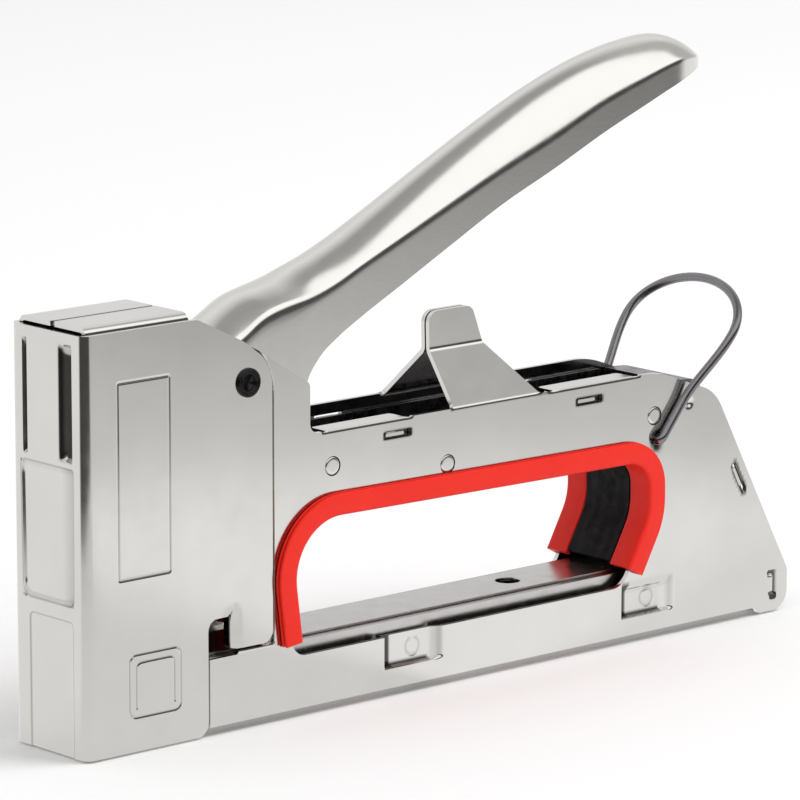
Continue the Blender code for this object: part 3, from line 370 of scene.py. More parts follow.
def distance_to(path, u, v, closed=False):
    """Distance from each (u, v) to a path's nearest segment, and that nearest point."""
    ends = np.roll(path, -1, axis=0) if closed else path[1:]
    starts = path if closed else path[:-1]
    points = np.stack([np.ravel(u), np.ravel(v)], axis=1)
    best = np.full(len(points), 1e9)
    nearest = points.copy()
    for a, b in zip(starts, ends):
        along = b - a
        t = np.clip((points - a) @ along / max(along @ along, 1e-12), 0, 1)
        foot = a + t[:, None] * along
        gap = np.linalg.norm(points - foot, axis=1)
        closer = gap < best
        best[closer] = gap[closer]
        nearest[closer] = foot[closer]
    return best.reshape(np.shape(u)), nearest


def within(outline, u, v):
    """True where (u, v) is inside a closed outline: an odd count of edges to its right."""
    crossings = np.zeros(np.shape(u), int)
    for (u0, v0), (u1, v1) in zip(outline, np.roll(outline, -1, axis=0)):
        if v0 == v1:
            continue
        spans = (v0 > v) != (v1 > v)
        crossings += spans & (u < (u1 - u0) * (v - v0) / (v1 - v0) + u0)
    return crossings % 2 == 1


def lines(low, high, step, fine=(), fine_step=0.2, reach=0.9, exact=(), more=()):
    """Grid lines from low to high, a step apart, closer together round the fine places, and with
    more lines where the others leave room for them."""
    values = [np.linspace(low, high, int((high - low) / step) + 1), np.array(exact, float), *more]
    values += [np.arange(place - reach, place + reach + 1e-9, fine_step) for place in fine]
    values = np.unique(np.round(np.concatenate(values), 3))
    values = values[(values >= low) & (values <= high)]
    kept = np.round(np.array(exact, float), 3)
    keep = [values[0]]
    for value in values[1:]:
        if value - keep[-1] > 0.6 * fine_step:
            keep.append(value)
        elif value in kept:
            keep[-1] = value
    return np.array(keep)


def smooth_step(t):
    """0 below 0, 1 above 1 and 3t2 - 2t3 between."""
    t = np.clip(t, 0, 1)
    return t * t * (3 - 2 * t)


def bead(distance, half_width):
    """A cosine bump: 1 on the line and 0 at half_width from it."""
    return np.where(distance < half_width, 0.5 + 0.5 * np.cos(math.pi * distance / half_width), 0.0)


def mesh_of(name, points, faces, crease=None):
    """A smooth mesh from points in the tool's millimetres and faces as index lists; its last argument is how
    much painted shade each point carries, from 0 to 1, for the shade and dark reflections in grooves, lines
    and gaps."""
    mesh = bpy.data.meshes.new(name)
    mesh.from_pydata(at(points).tolist(), [], faces)
    if crease is not None:
        mesh.attributes.new("crease", "FLOAT", "POINT").data.foreach_set("value", crease)
    mesh.validate()
    mesh.shade_smooth()
    return mesh


def grid_faces(rows, columns, wrap=False, offset=0):
    """Quads of a grid of points stored row by row; wrap joins the last column to the first."""
    index = np.arange(rows * columns).reshape(rows, columns) + offset
    right = np.roll(index, -1, axis=1)
    if not wrap:
        index, right = index[:, :-1], right[:, :-1]
    return np.stack([index[:-1], index[1:], right[1:], right[:-1]], axis=-1).reshape(-1, 4)


def carried(path, profile):
    """Points and faces of a closed profile (across, y) carried along a path (x, z), with flat ends.

    Each point is path + normal * across, with the normal on the path's left.
    """
    along = np.gradient(path, axis=0)
    along /= np.linalg.norm(along, axis=1)[:, None]
    normal = np.stack([-along[:, 1], along[:, 0]], axis=1)
    flat = path[:, None] + normal[:, None] * profile[None, :, :1]
    y = np.broadcast_to(profile[None, :, 1], flat.shape[:2])
    points = np.stack([flat[..., 0], y, flat[..., 1]], axis=-1).reshape(-1, 3)
    faces = grid_faces(len(path), len(profile), wrap=True).tolist()
    last = (len(path) - 1) * len(profile)
    faces.append(list(range(len(profile))))
    faces.append(list(range(last, last + len(profile)))[::-1])
    return points, faces


def outward(mesh):
    """Turns a closed mesh's faces outwards."""
    bm = bmesh.new()
    bm.from_mesh(mesh)
    bmesh.ops.recalc_face_normals(bm, faces=bm.faces)
    bm.to_mesh(mesh)
    bm.free()
    return mesh


def tube(points, radius, square, sides):
    """Points and faces of a round wire through points: centre + radius (cos N + sin B).

    N is along x square, B is along x N, and square is never parallel to the wire.
    """
    along = np.gradient(points, axis=0)
    along /= np.linalg.norm(along, axis=1)[:, None]
    n = np.cross(along, square)
    n /= np.linalg.norm(n, axis=1)[:, None]
    b = np.cross(along, n)
    a = np.linspace(0, 2 * math.pi, sides, endpoint=False)
    ring = np.cos(a)[None, :, None] * n[:, None] + np.sin(a)[None, :, None] * b[:, None]
    skin = (points[:, None] + radius * ring).reshape(-1, 3)
    faces = grid_faces(len(points), sides, wrap=True).tolist()
    last = (len(points) - 1) * sides
    faces.append(list(range(sides)))
    faces.append(list(range(last, last + sides)))
    return skin, faces


def turned(profile, centre, sides=48):
    """Points and faces of a closed profile (radius, y) turned about the y axis through centre."""
    a = np.linspace(0, 2 * math.pi, sides, endpoint=False)
    x = centre[0] + np.cos(a)[:, None] * profile[None, :, 0]
    z = centre[1] + np.sin(a)[:, None] * profile[None, :, 0]
    y = np.broadcast_to(profile[None, :, 1], x.shape)
    points = np.stack([x, y, z], axis=-1).reshape(-1, 3)
    index = np.arange(sides * len(profile)).reshape(sides, len(profile))
    right, down = np.roll(index, -1, axis=1), np.roll(index, -1, axis=0)
    faces = np.stack([index, down, np.roll(down, -1, axis=1), right], axis=-1).reshape(-1, 4)
    return points, faces.tolist()


def finished(name, points, faces, stands_for=None, crease=None, bevel_mm=0.0):
    """A piece from points and faces, with outward faces and, if asked for, rounded edges."""
    obj = piece(name, outward(mesh_of(name, points, faces, crease)), stands_for)
    if bevel_mm:
        rounded_edges(obj, bevel_mm, 50).harden_normals = True
    return obj


def pressed_sheet(u_lines, v_lines, outlines, form, wall):
    """Points, faces and painted shade of a pressed sheet: the grid's cells inside the first outline and
    outside the others, its rims drawn to the outlines, with a wall of even thickness.

    form(u, v) gives the outer face's points, its outward normals and its painted shade.
    """
    u, v = np.meshgrid(u_lines, v_lines, indexing="ij")
    mid_u, mid_v = (u[:-1, :-1] + u[1:, 1:]) / 2, (v[:-1, :-1] + v[1:, 1:]) / 2
    kept = within(outlines[0], mid_u, mid_v)
    for hole in outlines[1:]:
        kept &= ~within(hole, mid_u, mid_v)
    index = np.arange(u.size).reshape(u.shape)
    quads = np.stack([index[:-1, :-1], index[1:, :-1], index[1:, 1:], index[:-1, 1:]], axis=-1)[kept]
    edges = np.concatenate([quads[:, [k, (k + 1) % 4]] for k in range(4)])
    _, place, count = np.unique(np.sort(edges, axis=1), axis=0, return_index=True, return_counts=True)
    rim = edges[place[count == 1]]
    on_rim = np.unique(rim)
    flat_u, flat_v = u.ravel().copy(), v.ravel().copy()
    found = [distance_to(outline, flat_u[on_rim], flat_v[on_rim], closed=True) for outline in outlines]
    choice = np.argmin([gap for gap, _ in found], axis=0)
    nearest = np.array([foot for _, foot in found])[choice, np.arange(len(on_rim))]
    flat_u[on_rim], flat_v[on_rim] = nearest.T
    outer, normal, crease = form(flat_u, flat_v)
    size = len(outer)
    walls = np.stack([rim[:, 1], rim[:, 0], rim[:, 0] + size, rim[:, 1] + size], axis=1)
    faces = np.concatenate([quads, quads[:, ::-1] + size, walls])
    points = np.concatenate([outer, outer - normal * wall])
    used, faces = np.unique(faces, return_inverse=True)
    # painted shade goes on the outer face only
    painted_shades = np.clip(np.concatenate([crease, crease * 0]), 0, 1)[used]
    return points[used], faces.reshape(-1, 4).tolist(), painted_shades


# ---- front cover ---------------------------------------------------------------------------------------
COVER_HALF = 11.25             # outer half-width
COVER_TOP = 82.5
COVER_REAR = 46.5
COVER_BEND = 2.0               # outer radius of the nose's two upright corners
COVER_SHEET = 1.0
COVER_ROUND = 12.0             # radius of its upper rear corners, and the height where they begin
COVER_ROUND_FROM = 65.5
FRONT_HALF = COVER_HALF - COVER_BEND
CORNER_RUN = COVER_BEND * math.pi / 2
SIDE_RUN = FRONT_HALF + CORNER_RUN - COVER_BEND    # run along the sheet, less x, on a side
LIP_START = 38.9               # the window's rear edge is rolled inwards from here
LIP_EDGE = 36.4
GROOVE_FOOT, GROOVE_HEAD = 57.4, 80.6
# stamped lines as (y, z, radius) on the nose's front and (x, z, radius) on its sides
MIDDLE_PANEL = [(8.3, 56.4, 1.5), (7.9, 29.6, 2.5), (-7.7, 29.6, 1.5), (-7.9, 56.4, 0.5)]
LOWER_PANEL = [(6.0, -1, 0), (6.0, 26.6, 1.0), (-7.3, 26.6, 1.0), (-7.3, -1, 0)]
STAPLE_FRAME = [(10.6, 6.8, 1.6), (23.3, 6.8, 1.6), (23.3, 19.2, 1.6), (10.6, 19.2, 1.6)]
STAPLE = [(12.3, 8.6, 0), (12.3, 17.6, 1.2), (21.7, 17.6, 1.2), (21.7, 8.6, 0)]
LABEL_FRAME = [(8.2, 34.2, 0.3), (20.8, 34.2, 0.3), (20.8, 72.6, 0.3), (8.2, 72.6, 0.3)]


def cover_stampings(run, z):
    """How deep the cover's face is stamped, and how much painted shade it carries for the shade and dark
    reflections in its grooves and lines, at a run from the nose's middle line and z.

    Front: a wide groove that slopes in and a narrow one, upright; below them a middle panel one
    step lower, with a facet along its wide groove's side, and a framed lower panel. Sides: a
    staple's outline in a rounded frame, an empty label frame, and the window's rolled edge, part
    of a circle.
    """
    y = -run
    front = np.abs(run) < FRONT_HALF + 0.5
    upper = smooth_step((z - GROOVE_FOOT) / 1.0) * smooth_step((GROOVE_HEAD - z) / 1.4)
    wide = np.clip((-3.6 - y) / 3.1, 0, 1) * smooth_step((y + 7.6) / 0.35)
    narrow = bead(np.abs(y - 6.8), 0.75)
    depth = front * upper * (2.0 * wide + 0.8 * narrow)
    # painted shade in the grooves, along the facet, round the panels and on the stamped lines
    crease = front * upper * (0.75 * bead(np.abs(y + 4.1), 0.9) + 0.6 * bead(np.abs(y + 7.3), 0.5)
                              + 0.25 * wide + 0.75 * narrow)

    rim, _ = distance_to(rounded(MIDDLE_PANEL), y, z, closed=True)
    inside = front * within(np.array(MIDDLE_PANEL)[:, :2], y, z)
    panel_head, panel_foot = MIDDLE_PANEL[0][1], MIDDLE_PANEL[1][1]
    facet = np.clip((-3.9 - y) / 3.6, 0, 1) * smooth_step((y + 7.8) / 0.5)
    depth += inside * 0.45 * smooth_step(rim / 1.0)
    depth += inside * 0.55 * facet * smooth_step((panel_head - z) / 3) * smooth_step((z - panel_foot) / 2)
    crease += front * 0.42 * bead(rim, 0.32) + inside * 0.30 * facet

    lower, _ = distance_to(rounded(LOWER_PANEL, closed=False), y, z)
    depth += (front * 0.22 * smooth_step((6.4 - y) / 0.6) * smooth_step((y + 7.5) / 0.6)
              * smooth_step((26.9 - z) / 0.6))
    crease += front * 0.40 * bead(lower, 0.30)

    x = np.abs(run) - SIDE_RUN
    side = x > COVER_BEND + 0.5
    for corners, closed in ((STAPLE_FRAME, True), (STAPLE, False), (LABEL_FRAME, True)):
        line, _ = distance_to(rounded(corners, closed), x, z, closed)
        depth += side * 0.12 * bead(line, 0.36)
        crease += side * 0.42 * bead(line, 0.22)
    bend = np.clip(LIP_START - x, 0, LIP_START - LIP_EDGE - 0.05)
    radius = LIP_START - LIP_EDGE
    roll = radius - np.sqrt(radius ** 2 - bend ** 2)
    depth += side * (x > LIP_EDGE - 0.5) * roll * smooth_step((23.4 - z) / 0.8)
    return depth, crease


def cover_outline():
    """The cover's outline over the run along its sheet: two sides, each with a window, and the front."""
    side = [(30.1, 0, 2.6), (30.1, 23.0, 2.2), (LIP_EDGE, 23.0, 0.5), (LIP_EDGE, 16.2, 0.5),
            (COVER_REAR, 16.2, 2.5), (COVER_REAR, 71.6, COVER_ROUND), (39.4, 76.8, 5),
            (27.8, COVER_TOP, 2.5)]
    side = [(x + SIDE_RUN, z, radius) for x, z, radius in side]
    return rounded(side + [(-run, z, radius) for run, z, radius in side[::-1]])


def cover_form(run, z):
    """The nose's folded sheet: flat front, quarter-circle corners, flat sides."""
    hand = np.where(run < 0, -1.0, 1.0)
    reach = np.abs(run)
    turn = np.clip((reach - FRONT_HALF) / COVER_BEND, 0, math.pi / 2)
    normal = np.stack([-np.cos(turn), -hand * np.sin(turn), np.zeros_like(turn)], axis=1)
    x = COVER_BEND * (1 - np.cos(turn)) + np.clip(reach - FRONT_HALF - CORNER_RUN, 0, None)
    y = -hand * (np.minimum(reach, FRONT_HALF) + COVER_BEND * np.sin(turn))
    depth, crease = cover_stampings(run, z)
    return np.stack([x, y, z], axis=1) - normal * depth[:, None], normal, crease


def front_cover():
    """The nose's cover, pressed from one sheet."""
    sides = lines(COVER_BEND, COVER_REAR, 1.6, fine=(8.2, 10.6, 12.3, 20.8, 21.7, 23.3), fine_step=0.14,
                  reach=0.6, exact=(30.1, LIP_EDGE, COVER_REAR))
    extra = np.concatenate([np.arange(27.5, 30.1, 0.5), np.arange(LIP_EDGE, LIP_START + 0.1, 0.25),
                            np.arange(41.5, COVER_REAR, 0.6)])
    corner = np.linspace(FRONT_HALF, FRONT_HALF + CORNER_RUN, 13)
    half = np.unique(np.round(np.concatenate([sides + SIDE_RUN, extra + SIDE_RUN, corner]), 2))
    nose = np.arange(-FRONT_HALF, FRONT_HALF, 0.2)
    run = np.concatenate([-half[::-1], nose[1:], half])
    z_lines = lines(0, COVER_TOP, 1.6, fine=(6.8, 8.6, 17.6, 19.2, 26.6, 29.6, 34.2, 57, 72.6, 80.4),
                    fine_step=0.16, reach=0.8, exact=(0, 16.2, 23.0, COVER_TOP))
    points, faces, crease = pressed_sheet(run, z_lines, [cover_outline()], cover_form, COVER_SHEET)
    finished("front_cover_stamped", points, faces, "front_cover", crease, bevel_mm=0.16)


# ---- handle --------------------------------------------------------------------------------------------
# stations along the lever: x, the heights of its lower edge, shoulder and crown, and its half-width
HANDLE = np.array([
    (33.5, 66.0, 71.5, 75.2, 8.20), (37.0, 62.5, 74.4, 78.2, 8.50), (42.0, 59.5, 77.0, 81.4, 8.60),
    (46.5, 57.8, 79.8, 83.6, 8.60), (51.5, 57.4, 81.4, 84.9, 8.60), (55.5, 61.0, 82.1, 85.8, 8.60),
    (58.0, 66.6, 82.4, 86.6, 8.50), (61.0, 70.3, 83.0, 87.7, 8.30), (66.0, 73.8, 84.6, 89.4, 8.10),
    (72.0, 77.0, 87.2, 91.8, 8.00), (83.0, 82.3, 91.6, 97.2, 7.90), (96.0, 88.7, 96.9, 103.9, 7.90),
    (110.0, 95.5, 102.6, 110.8, 8.00), (124.0, 101.3, 107.9, 117.0, 8.20),
    (138.0, 107.4, 113.8, 121.8, 8.30), (150.0, 112.0, 117.6, 124.3, 8.20),
    (158.0, 114.9, 119.8, 125.0, 7.90), (173.0, 119.0, 121.4, 122.6, 7.20)])
HANDLE_WALL = 1.2
HANDLE_TIP = 170.6
HANDLE_ROUND = 14.0            # the last stretch, over which the lever closes in on its tip
HANDLE_TIP_Z = 117.6


def eased(stations, x):
    """Each column of the stations as a cubic Hermite curve in x, with averaged slopes."""
    known = stations[:, 0]
    slopes = np.gradient(stations[:, 1:], known, axis=0)
    k = np.clip(np.searchsorted(known, x) - 1, 0, len(known) - 2)
    gap = known[k + 1] - known[k]
    t = ((x - known[k]) / gap)[:, None]
    gap = gap[:, None]
    a, b = stations[k, 1:], stations[k + 1, 1:]
    return ((2 * t ** 3 - 3 * t ** 2 + 1) * a + (t ** 3 - 2 * t ** 2 + t) * gap * slopes[k]
            + (3 * t ** 2 - 2 * t ** 3) * b + (t ** 3 - t ** 2) * gap * slopes[k + 1])


def handle_sections(x, low, side, top, half):
    """Section points (x, y, z): upright flanks and an arch whose height is
    side + (top - side) (1 - |y / half| ^ 2.3), the shoulders between them eased by a moving mean."""
    flank = np.linspace(0, 1, 16)[None, :]
    y = np.linspace(-1, 1, 41)[None, :]
    y = np.sin(y * math.pi / 2) * 0.35 + y * 0.65
    arch_y = half[:, None] * y
    arch_z = side[:, None] + (top - side)[:, None] * (1 - np.abs(y) ** 2.3)
    left_z = low[:, None] + (side - low)[:, None] * flank[:, :-1]
    ones = np.ones_like(left_z)
    y_all = np.concatenate([-half[:, None] * ones, arch_y, half[:, None] * ones], axis=1)
    z_all = np.concatenate([left_z, arch_z, left_z[:, ::-1]], axis=1)
    shares = np.array([1, 2, 3, 2, 1]) / 9
    for values in (y_all, z_all):
        wide = np.pad(values, ((0, 0), (2, 2)), mode="edge")
        mean = sum(share * wide[:, k:k + values.shape[1]] for k, share in enumerate(shares))
        values[:, 3:-3] = mean[:, 3:-3]
    return np.stack([np.broadcast_to(x[:, None], y_all.shape), y_all, z_all], axis=-1)


def handle():
    """The pressed lever: outer sections lofted along x, and inner ones a wall's thickness inside.

    Over the last stretch the sections close in on the tip by sqrt(1 - share ^ 2.3).
    """
    even = np.linspace(HANDLE[0, 0], HANDLE_TIP - HANDLE_ROUND, 140)
    round_end = HANDLE_TIP - HANDLE_ROUND * (1 - np.sin(np.linspace(0, math.pi / 2, 28)[1:]))
    x = np.concatenate([even, round_end])
    low, side, top, half = eased(HANDLE, x).T
    share = np.clip((x - HANDLE_TIP + HANDLE_ROUND) / HANDLE_ROUND, 0, 1)
    close = np.maximum(np.sqrt(1 - share ** 2.3), 0.02)
    half = half * close
    low, side, top = [HANDLE_TIP_Z + (z - HANDLE_TIP_Z) * close ** 0.9 for z in (low, side, top)]
    outer = handle_sections(x, low, side, top, half)
    x, low, side, top, half = [values[x < HANDLE_TIP - 2.6] for values in (x, low, side, top, half)]
    inner = handle_sections(x, low, side - 0.3 * HANDLE_WALL, top - HANDLE_WALL, half - HANDLE_WALL)
    rows, columns = outer.shape[:2]
    in_rows = inner.shape[0]
    points = np.concatenate([outer.reshape(-1, 3), inner.reshape(-1, 3)])
    skin = grid_faces(rows, columns)
    lining = grid_faces(in_rows, columns, offset=rows * columns)[:, ::-1]
    out_index = np.arange(rows * columns).reshape(rows, columns)
    in_index = np.arange(in_rows * columns).reshape(in_rows, columns) + rows * columns
    faces = [skin, lining]
    for edge in (0, -1):
        a, b = out_index[:in_rows, edge], in_index[:, edge]
        faces.append(np.stack([a[:-1], a[1:], b[1:], b[:-1]], axis=1)[:, ::(1 if edge else -1)])
    a, b = out_index[0], in_index[0]
    faces.append(np.stack([a[:-1], a[1:], b[1:], b[:-1]], axis=1))
    faces = [face for block in faces for face in block.tolist()]
    tip = out_index[in_rows - 1:, 0].tolist() + out_index[-1, 1:].tolist()
    tip += out_index[in_rows - 1:-1, -1][::-1].tolist() + in_index[-1, ::-1].tolist()
    faces.append(tip)
    finished("handle_pressed", points, faces, "handle", bevel_mm=0.25)


# ---- hand hole's edging --------------------------------------------------------------------------------
HOLE_FRONT, HOLE_REAR = 52.0, 147.6
HOLE_TOP, HOLE_FALL = 39.3, 1.3     # its height at the front, and how much lower it is at the rear
TRIM_FOOT = 15.2


def hole_path():
    """The clear opening's edge, from the front foot over the top to the rear foot, as (x, z)."""
    height = HOLE_TOP - TRIM_FOOT
    corners = [(HOLE_FRONT + 1.3, TRIM_FOOT, 0), (HOLE_FRONT - 1.8, HOLE_TOP, 11.5),
               (HOLE_REAR, HOLE_TOP - HOLE_FALL, 8.5),
               (HOLE_REAR, TRIM_FOOT + 0.475 * height, 12), (HOLE_REAR - 0.265 * height, TRIM_FOOT, 0)]
    return resampled(rounded(corners, closed=False, step=0.2), 0.6)


def grip_trim(name, side):
    """A red edging: an L-shaped profile with rounded corners and a groove in its outer rim, carried
    round the hole to just above the rear foot."""
    corners = [(0.0, 6.6, 0.3), (1.5, 6.6, 0.3), (1.5, 11.3, 0.2), (4.6, 11.3, 0.15), (4.6, 11.65, 0.1),
               (3.2, 11.7, 0.05), (3.2, 12.12, 0.05), (4.5, 12.17, 0.1), (4.4, 12.7, 0.45), (0.0, 12.7, 0.75)]
    profile = rounded(corners, step=0.12) * [1, side]
    points, faces = carried(hole_path()[:-2], profile)
    finished(name + "_moulded", points, faces, name, bevel_mm=0.08)


def grip_web():
    """The black web between the edgings, with three shallow ribs along it."""
    y = np.linspace(-6.4, 6.4, 49)
    ribs = 0.05 * (0.5 - 0.5 * np.cos(2 * math.pi * (y + 6.4) / 3.2))
    face = np.stack([0.02 + ribs, y], axis=1)
    profile = np.concatenate([face, [[1.5, 6.4], [1.5, -6.4]]])
    points, faces = carried(hole_path()[3:-3], profile)
    finished("grip_web_moulded", points, faces, "grip_web", bevel_mm=0.1)


# ---- wire pieces ---------------------------------------------------------------------------------------
BAIL_X, BAIL_Z = 150.8, 41.8        # the middle of its holes in the plates
BAIL_WIRE = 0.95                    # wire radius, and the bend at each foot
BAIL_BEND = 1.1
BAIL_LEG_HALF, BAIL_HEAD_HALF = 12.3, 15.8
BAIL_NECK, BAIL_REACH = 27.0, 38.4  # from the holes to where the head is widest, and to its top
BAIL_LEAN = math.radians(51)


def bail():
    """The lock bail: in its own plane the legs run straight, then widen by a smooth step into a
    half-elliptic head."""
    rise = np.linspace(0, 1, 24)
    widening = (BAIL_HEAD_HALF - BAIL_LEG_HALF) * smooth_step(1.35 * rise - 0.35)
    leg = np.stack([2 * BAIL_BEND + (BAIL_NECK - 2 * BAIL_BEND) * rise, BAIL_LEG_HALF + widening], axis=1)
    turn = np.linspace(0, math.pi / 2, 28)[1:]
    head_rise = (BAIL_REACH - BAIL_NECK) * np.sin(turn)
    head = np.stack([BAIL_NECK + head_rise, BAIL_HEAD_HALF * np.cos(turn)], axis=1)
    turn = np.linspace(0, math.pi / 2, 7)
    foot = np.stack([BAIL_BEND * (1 - np.cos(turn)), BAIL_LEG_HALF - BAIL_BEND * (1 - np.sin(turn))], axis=1)
    half = np.vstack([[[0, 10.1]], foot, leg, head])
    r, y = resampled(np.vstack([half, (half * [1, -1])[::-1][1:]]), 0.5).T
    up = np.array([math.cos(BAIL_LEAN), 0, math.sin(BAIL_LEAN)])
    points = np.array([BAIL_X, 0, BAIL_Z]) + r[:, None] * up + y[:, None] * np.array([0, 1, 0])
    skin, faces = tube(points, BAIL_WIRE, (-up[2], 0, up[0]), 22)
    finished("wire_bail_drawn", skin, faces, "wire_bail")


def main_spring():
    """The striker's spring, upright in the nose: a helix whose pitch eases at both ends."""
    middle_x, foot, height, radius, turns = 12.5, 50.85, 28.9, 5.8, 8.5
    t = np.linspace(0, 1, 360)
    a = 2 * math.pi * turns * t
    rise = t - 0.75 * np.sin(2 * math.pi * t) / (2 * math.pi)
    points = np.stack([middle_x + radius * np.cos(a), radius * np.sin(a), foot + height * rise], axis=1)
    skin, faces = tube(points, 0.75, (0, 0, 1), 12)
    spring = finished("main_spring_wound", skin, faces, "main_spring")
    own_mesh(spring)


def pusher_spring():
    """The pusher's long, light spring: an even helix round its guide rod."""
    start, length, rod_z, radius, turns = 84.9, 98.7, 7.4, 2.6, 34
    t = np.linspace(0, 1, 900)
    a = 2 * math.pi * turns * t
    points = np.stack([start + length * t, radius * np.cos(a), rod_z + radius * np.sin(a)], axis=1)
    skin, faces = tube(points, 0.32, (1, 0, 0), 8)
    spring = finished("pusher_spring_wound", skin, faces, "pusher_spring")
    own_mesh(spring)


# ---- side plates ---------------------------------------------------------------------------------------
PLATE_HALF = 11.1              # outer half-width over both plates
PLATE_SHEET = 1.0
BEAM_TOP = 56.2
JOGGLE = 1.05                  # the part inside the cover is set in by this
PIN_X, PIN_Z = 40.4, 68.6
RIVETS = ((62.1, 49.0), (92.5, 45.1), (150.1, 47.1))
SLOTS = ((79.1, 53.1, 0.0), (131.4, 52.9, 0.0), (175.1, 30.3, math.atan2(-41.4, 22.2)))  # x, z, lean
TABS = ((75.9, 88.0, 92.0, 5.6, 14.0), (141.2, 152.8, 156.6, 5.3, 12.4))  # front, ramp, rear, foot, head
TAB_DEPTH = 1.35


def slot_outline(x, z, lean, length=7.4, height=1.6, shift=0.0):
    """A slot's rounded outline, turned by its lean."""
    half, rise = length / 2, height / 2
    flat = rounded([(shift - half, -rise, 0.4), (shift + half, -rise, 0.4), (shift + half, rise, 0.4),
                    (shift - half, rise, 0.4)], step=0.1)
    turn = np.array([[math.cos(lean), math.sin(lean)], [-math.sin(lean), math.cos(lean)]])
    return flat @ turn + [x, z]


def round_hole(x, z, radius):
    """A round hole's outline."""
    a = np.linspace(0, 2 * math.pi, 40, endpoint=False)
    return np.stack([x + radius * np.cos(a), z + radius * np.sin(a)], axis=1)


def fold(corners, start):
    """A fold's section as (distance from the middle, height), with each point's place v along it."""
    path = rounded(corners, closed=False, step=0.2)
    v = start + np.concatenate([[0], np.cumsum(np.linalg.norm(np.diff(path, axis=0), axis=1))])
    return path, v


# each fold: where it begins and ends in x, and its section from a little below the bend upwards
ROOF = (0, 30, *fold([(PLATE_HALF - JOGGLE, 70, 0), (PLATE_HALF - JOGGLE, 83.9, 1.5), (0.14, 83.9, 0)], 70))
FIN = (93, 119, *fold([(PLATE_HALF, 50, 0), (PLATE_HALF, BEAM_TOP, 0.35), (1.2, 66.4, 1.2), (1.2, 74.2, 0)],
                      50))
LIPS = [(start, end, *fold([(PLATE_HALF, 50, 0), (PLATE_HALF, BEAM_TOP, 0.35), (6.0, BEAM_TOP, 0)], 50))
        for start, end in ((59.5, 83), (120, 146))]


def plate_outline(with_lips):
    """The plate's blank: x along the tool, v up the sheet and on along its folds."""
    roof, fin, lip = ROOF[3][-1], FIN[3][-1], LIPS[0][3][-1]
    corners = [(1.4, 1.4, 0), (180.5, 1.4, 0.6), (181.5, 0, 0.6), (190, 0, 4.5), (190, 8.6, 4),
               (167.8, 50.0, 10), (151.0, BEAM_TOP, 22)]
    if with_lips:
        corners += [(144.0, BEAM_TOP, 0.3), (144.0, lip, 0.8), (121.5, lip, 0.8), (121.5, BEAM_TOP, 0.3)]
    corners += [(117.6, BEAM_TOP, 1.2), (110.9, fin - 8.2, 8), (107.9, fin, 2.2), (96.2, fin, 2.4),
                (96.4, fin - 7.6, 6), (94.2, BEAM_TOP, 1.2)]
    if with_lips:
        corners += [(81.5, BEAM_TOP, 0.3), (81.5, lip, 0.8), (60.6, lip, 0.8), (60.6, BEAM_TOP, 0.3)]
    corners += [(56.3, BEAM_TOP, 2.0), (56.3, 66.4, 1.5), (47.0, 71.9, 1.0), (41.4, 75.8, 0), (41.4, 71.5, 0),
                (27.0, 81.5, 0), (26.4, 83.2, 0.3), (26.4, roof, 0.7), (1.5, roof, 0.7)]
    return rounded(corners)


def plate_stampings(x, z):
    """How deep the plate is stamped, and how much painted shade it carries, for the shade and dark
    reflections in its gaps, lines and hollows.

    The part inside the cover is set in up to a seam that runs round the cover's rear edge. Two
    tabs are cut free at their front and foot and pressed in to the magazine, each with a ramp
    behind it and a round weld. There is a dimple by the bail, whose hole is drawn in a little, and
    a hook-shaped recess at the tail.
    """
    seam = COVER_REAR - COVER_ROUND + np.sqrt(12.6 ** 2 - np.clip(z - COVER_ROUND_FROM, 0, 11) ** 2)
    joggle = np.maximum(smooth_step((z - 15.55) / 0.3) * smooth_step((seam - x) / 0.4),
                        smooth_step((30.6 - x) / 0.4))
    depth = JOGGLE * joggle
    # painted shade along the tabs' cut front and foot, at the ramps' rears, round the welds, the bail hole,
    # the hook and the slots
    crease = np.zeros_like(x)
    for front, ramp, rear, foot, head in TABS:
        along = smooth_step((x - front) / 0.25) * smooth_step((rear - x) / (rear - ramp))
        up = smooth_step((z - foot) / 0.25) * smooth_step((head - z) / 2.0)
        depth += TAB_DEPTH * along * up
        tall = (z > foot - 0.1) & (z < head)
        crease += 0.9 * tall * smooth_step((x - front + 0.1) / 0.2) * smooth_step((front + 2.3 - x) / 0.5)
        crease += 0.22 * tall * bead(np.abs(x - rear + 1.4), 1.2)
        crease += 0.9 * ((x > front) & (x < ramp)) * bead(np.abs(z - foot - 0.35), 0.8)
        weld = np.hypot(x - front - 8.3, z - foot - 3.2)
        depth += 0.10 * bead(np.abs(weld - 1.8), 0.5)
        crease += 0.30 * bead(np.abs(weld - 1.8), 0.40)
    dimple = np.hypot(x - 160.1, z - 48.5)
    depth += 0.5 * bead(dimple, 1.5)
    foot = np.hypot(x - BAIL_X, z - BAIL_Z)
    depth += 0.35 * bead(foot, 2.6)
    crease += 0.9 * bead(np.abs(foot - 1.2), 1.2)
    hook, _ = distance_to(np.array([(184.7, 8.3), (186.4, 8.3), (186.4, 3.6), (185.0, 3.6)]), x, z)
    depth += 0.6 * bead(hook, 0.9)
    crease += 0.9 * bead(hook, 0.75)
    for slot in SLOTS:
        near = np.hypot(x - slot[0], z - slot[1]) < 5
        edge, _ = distance_to(slot_outline(*slot), x[near], z[near], closed=True)
        crease[near] += 0.8 * bead(edge, 0.3)
    return depth, crease


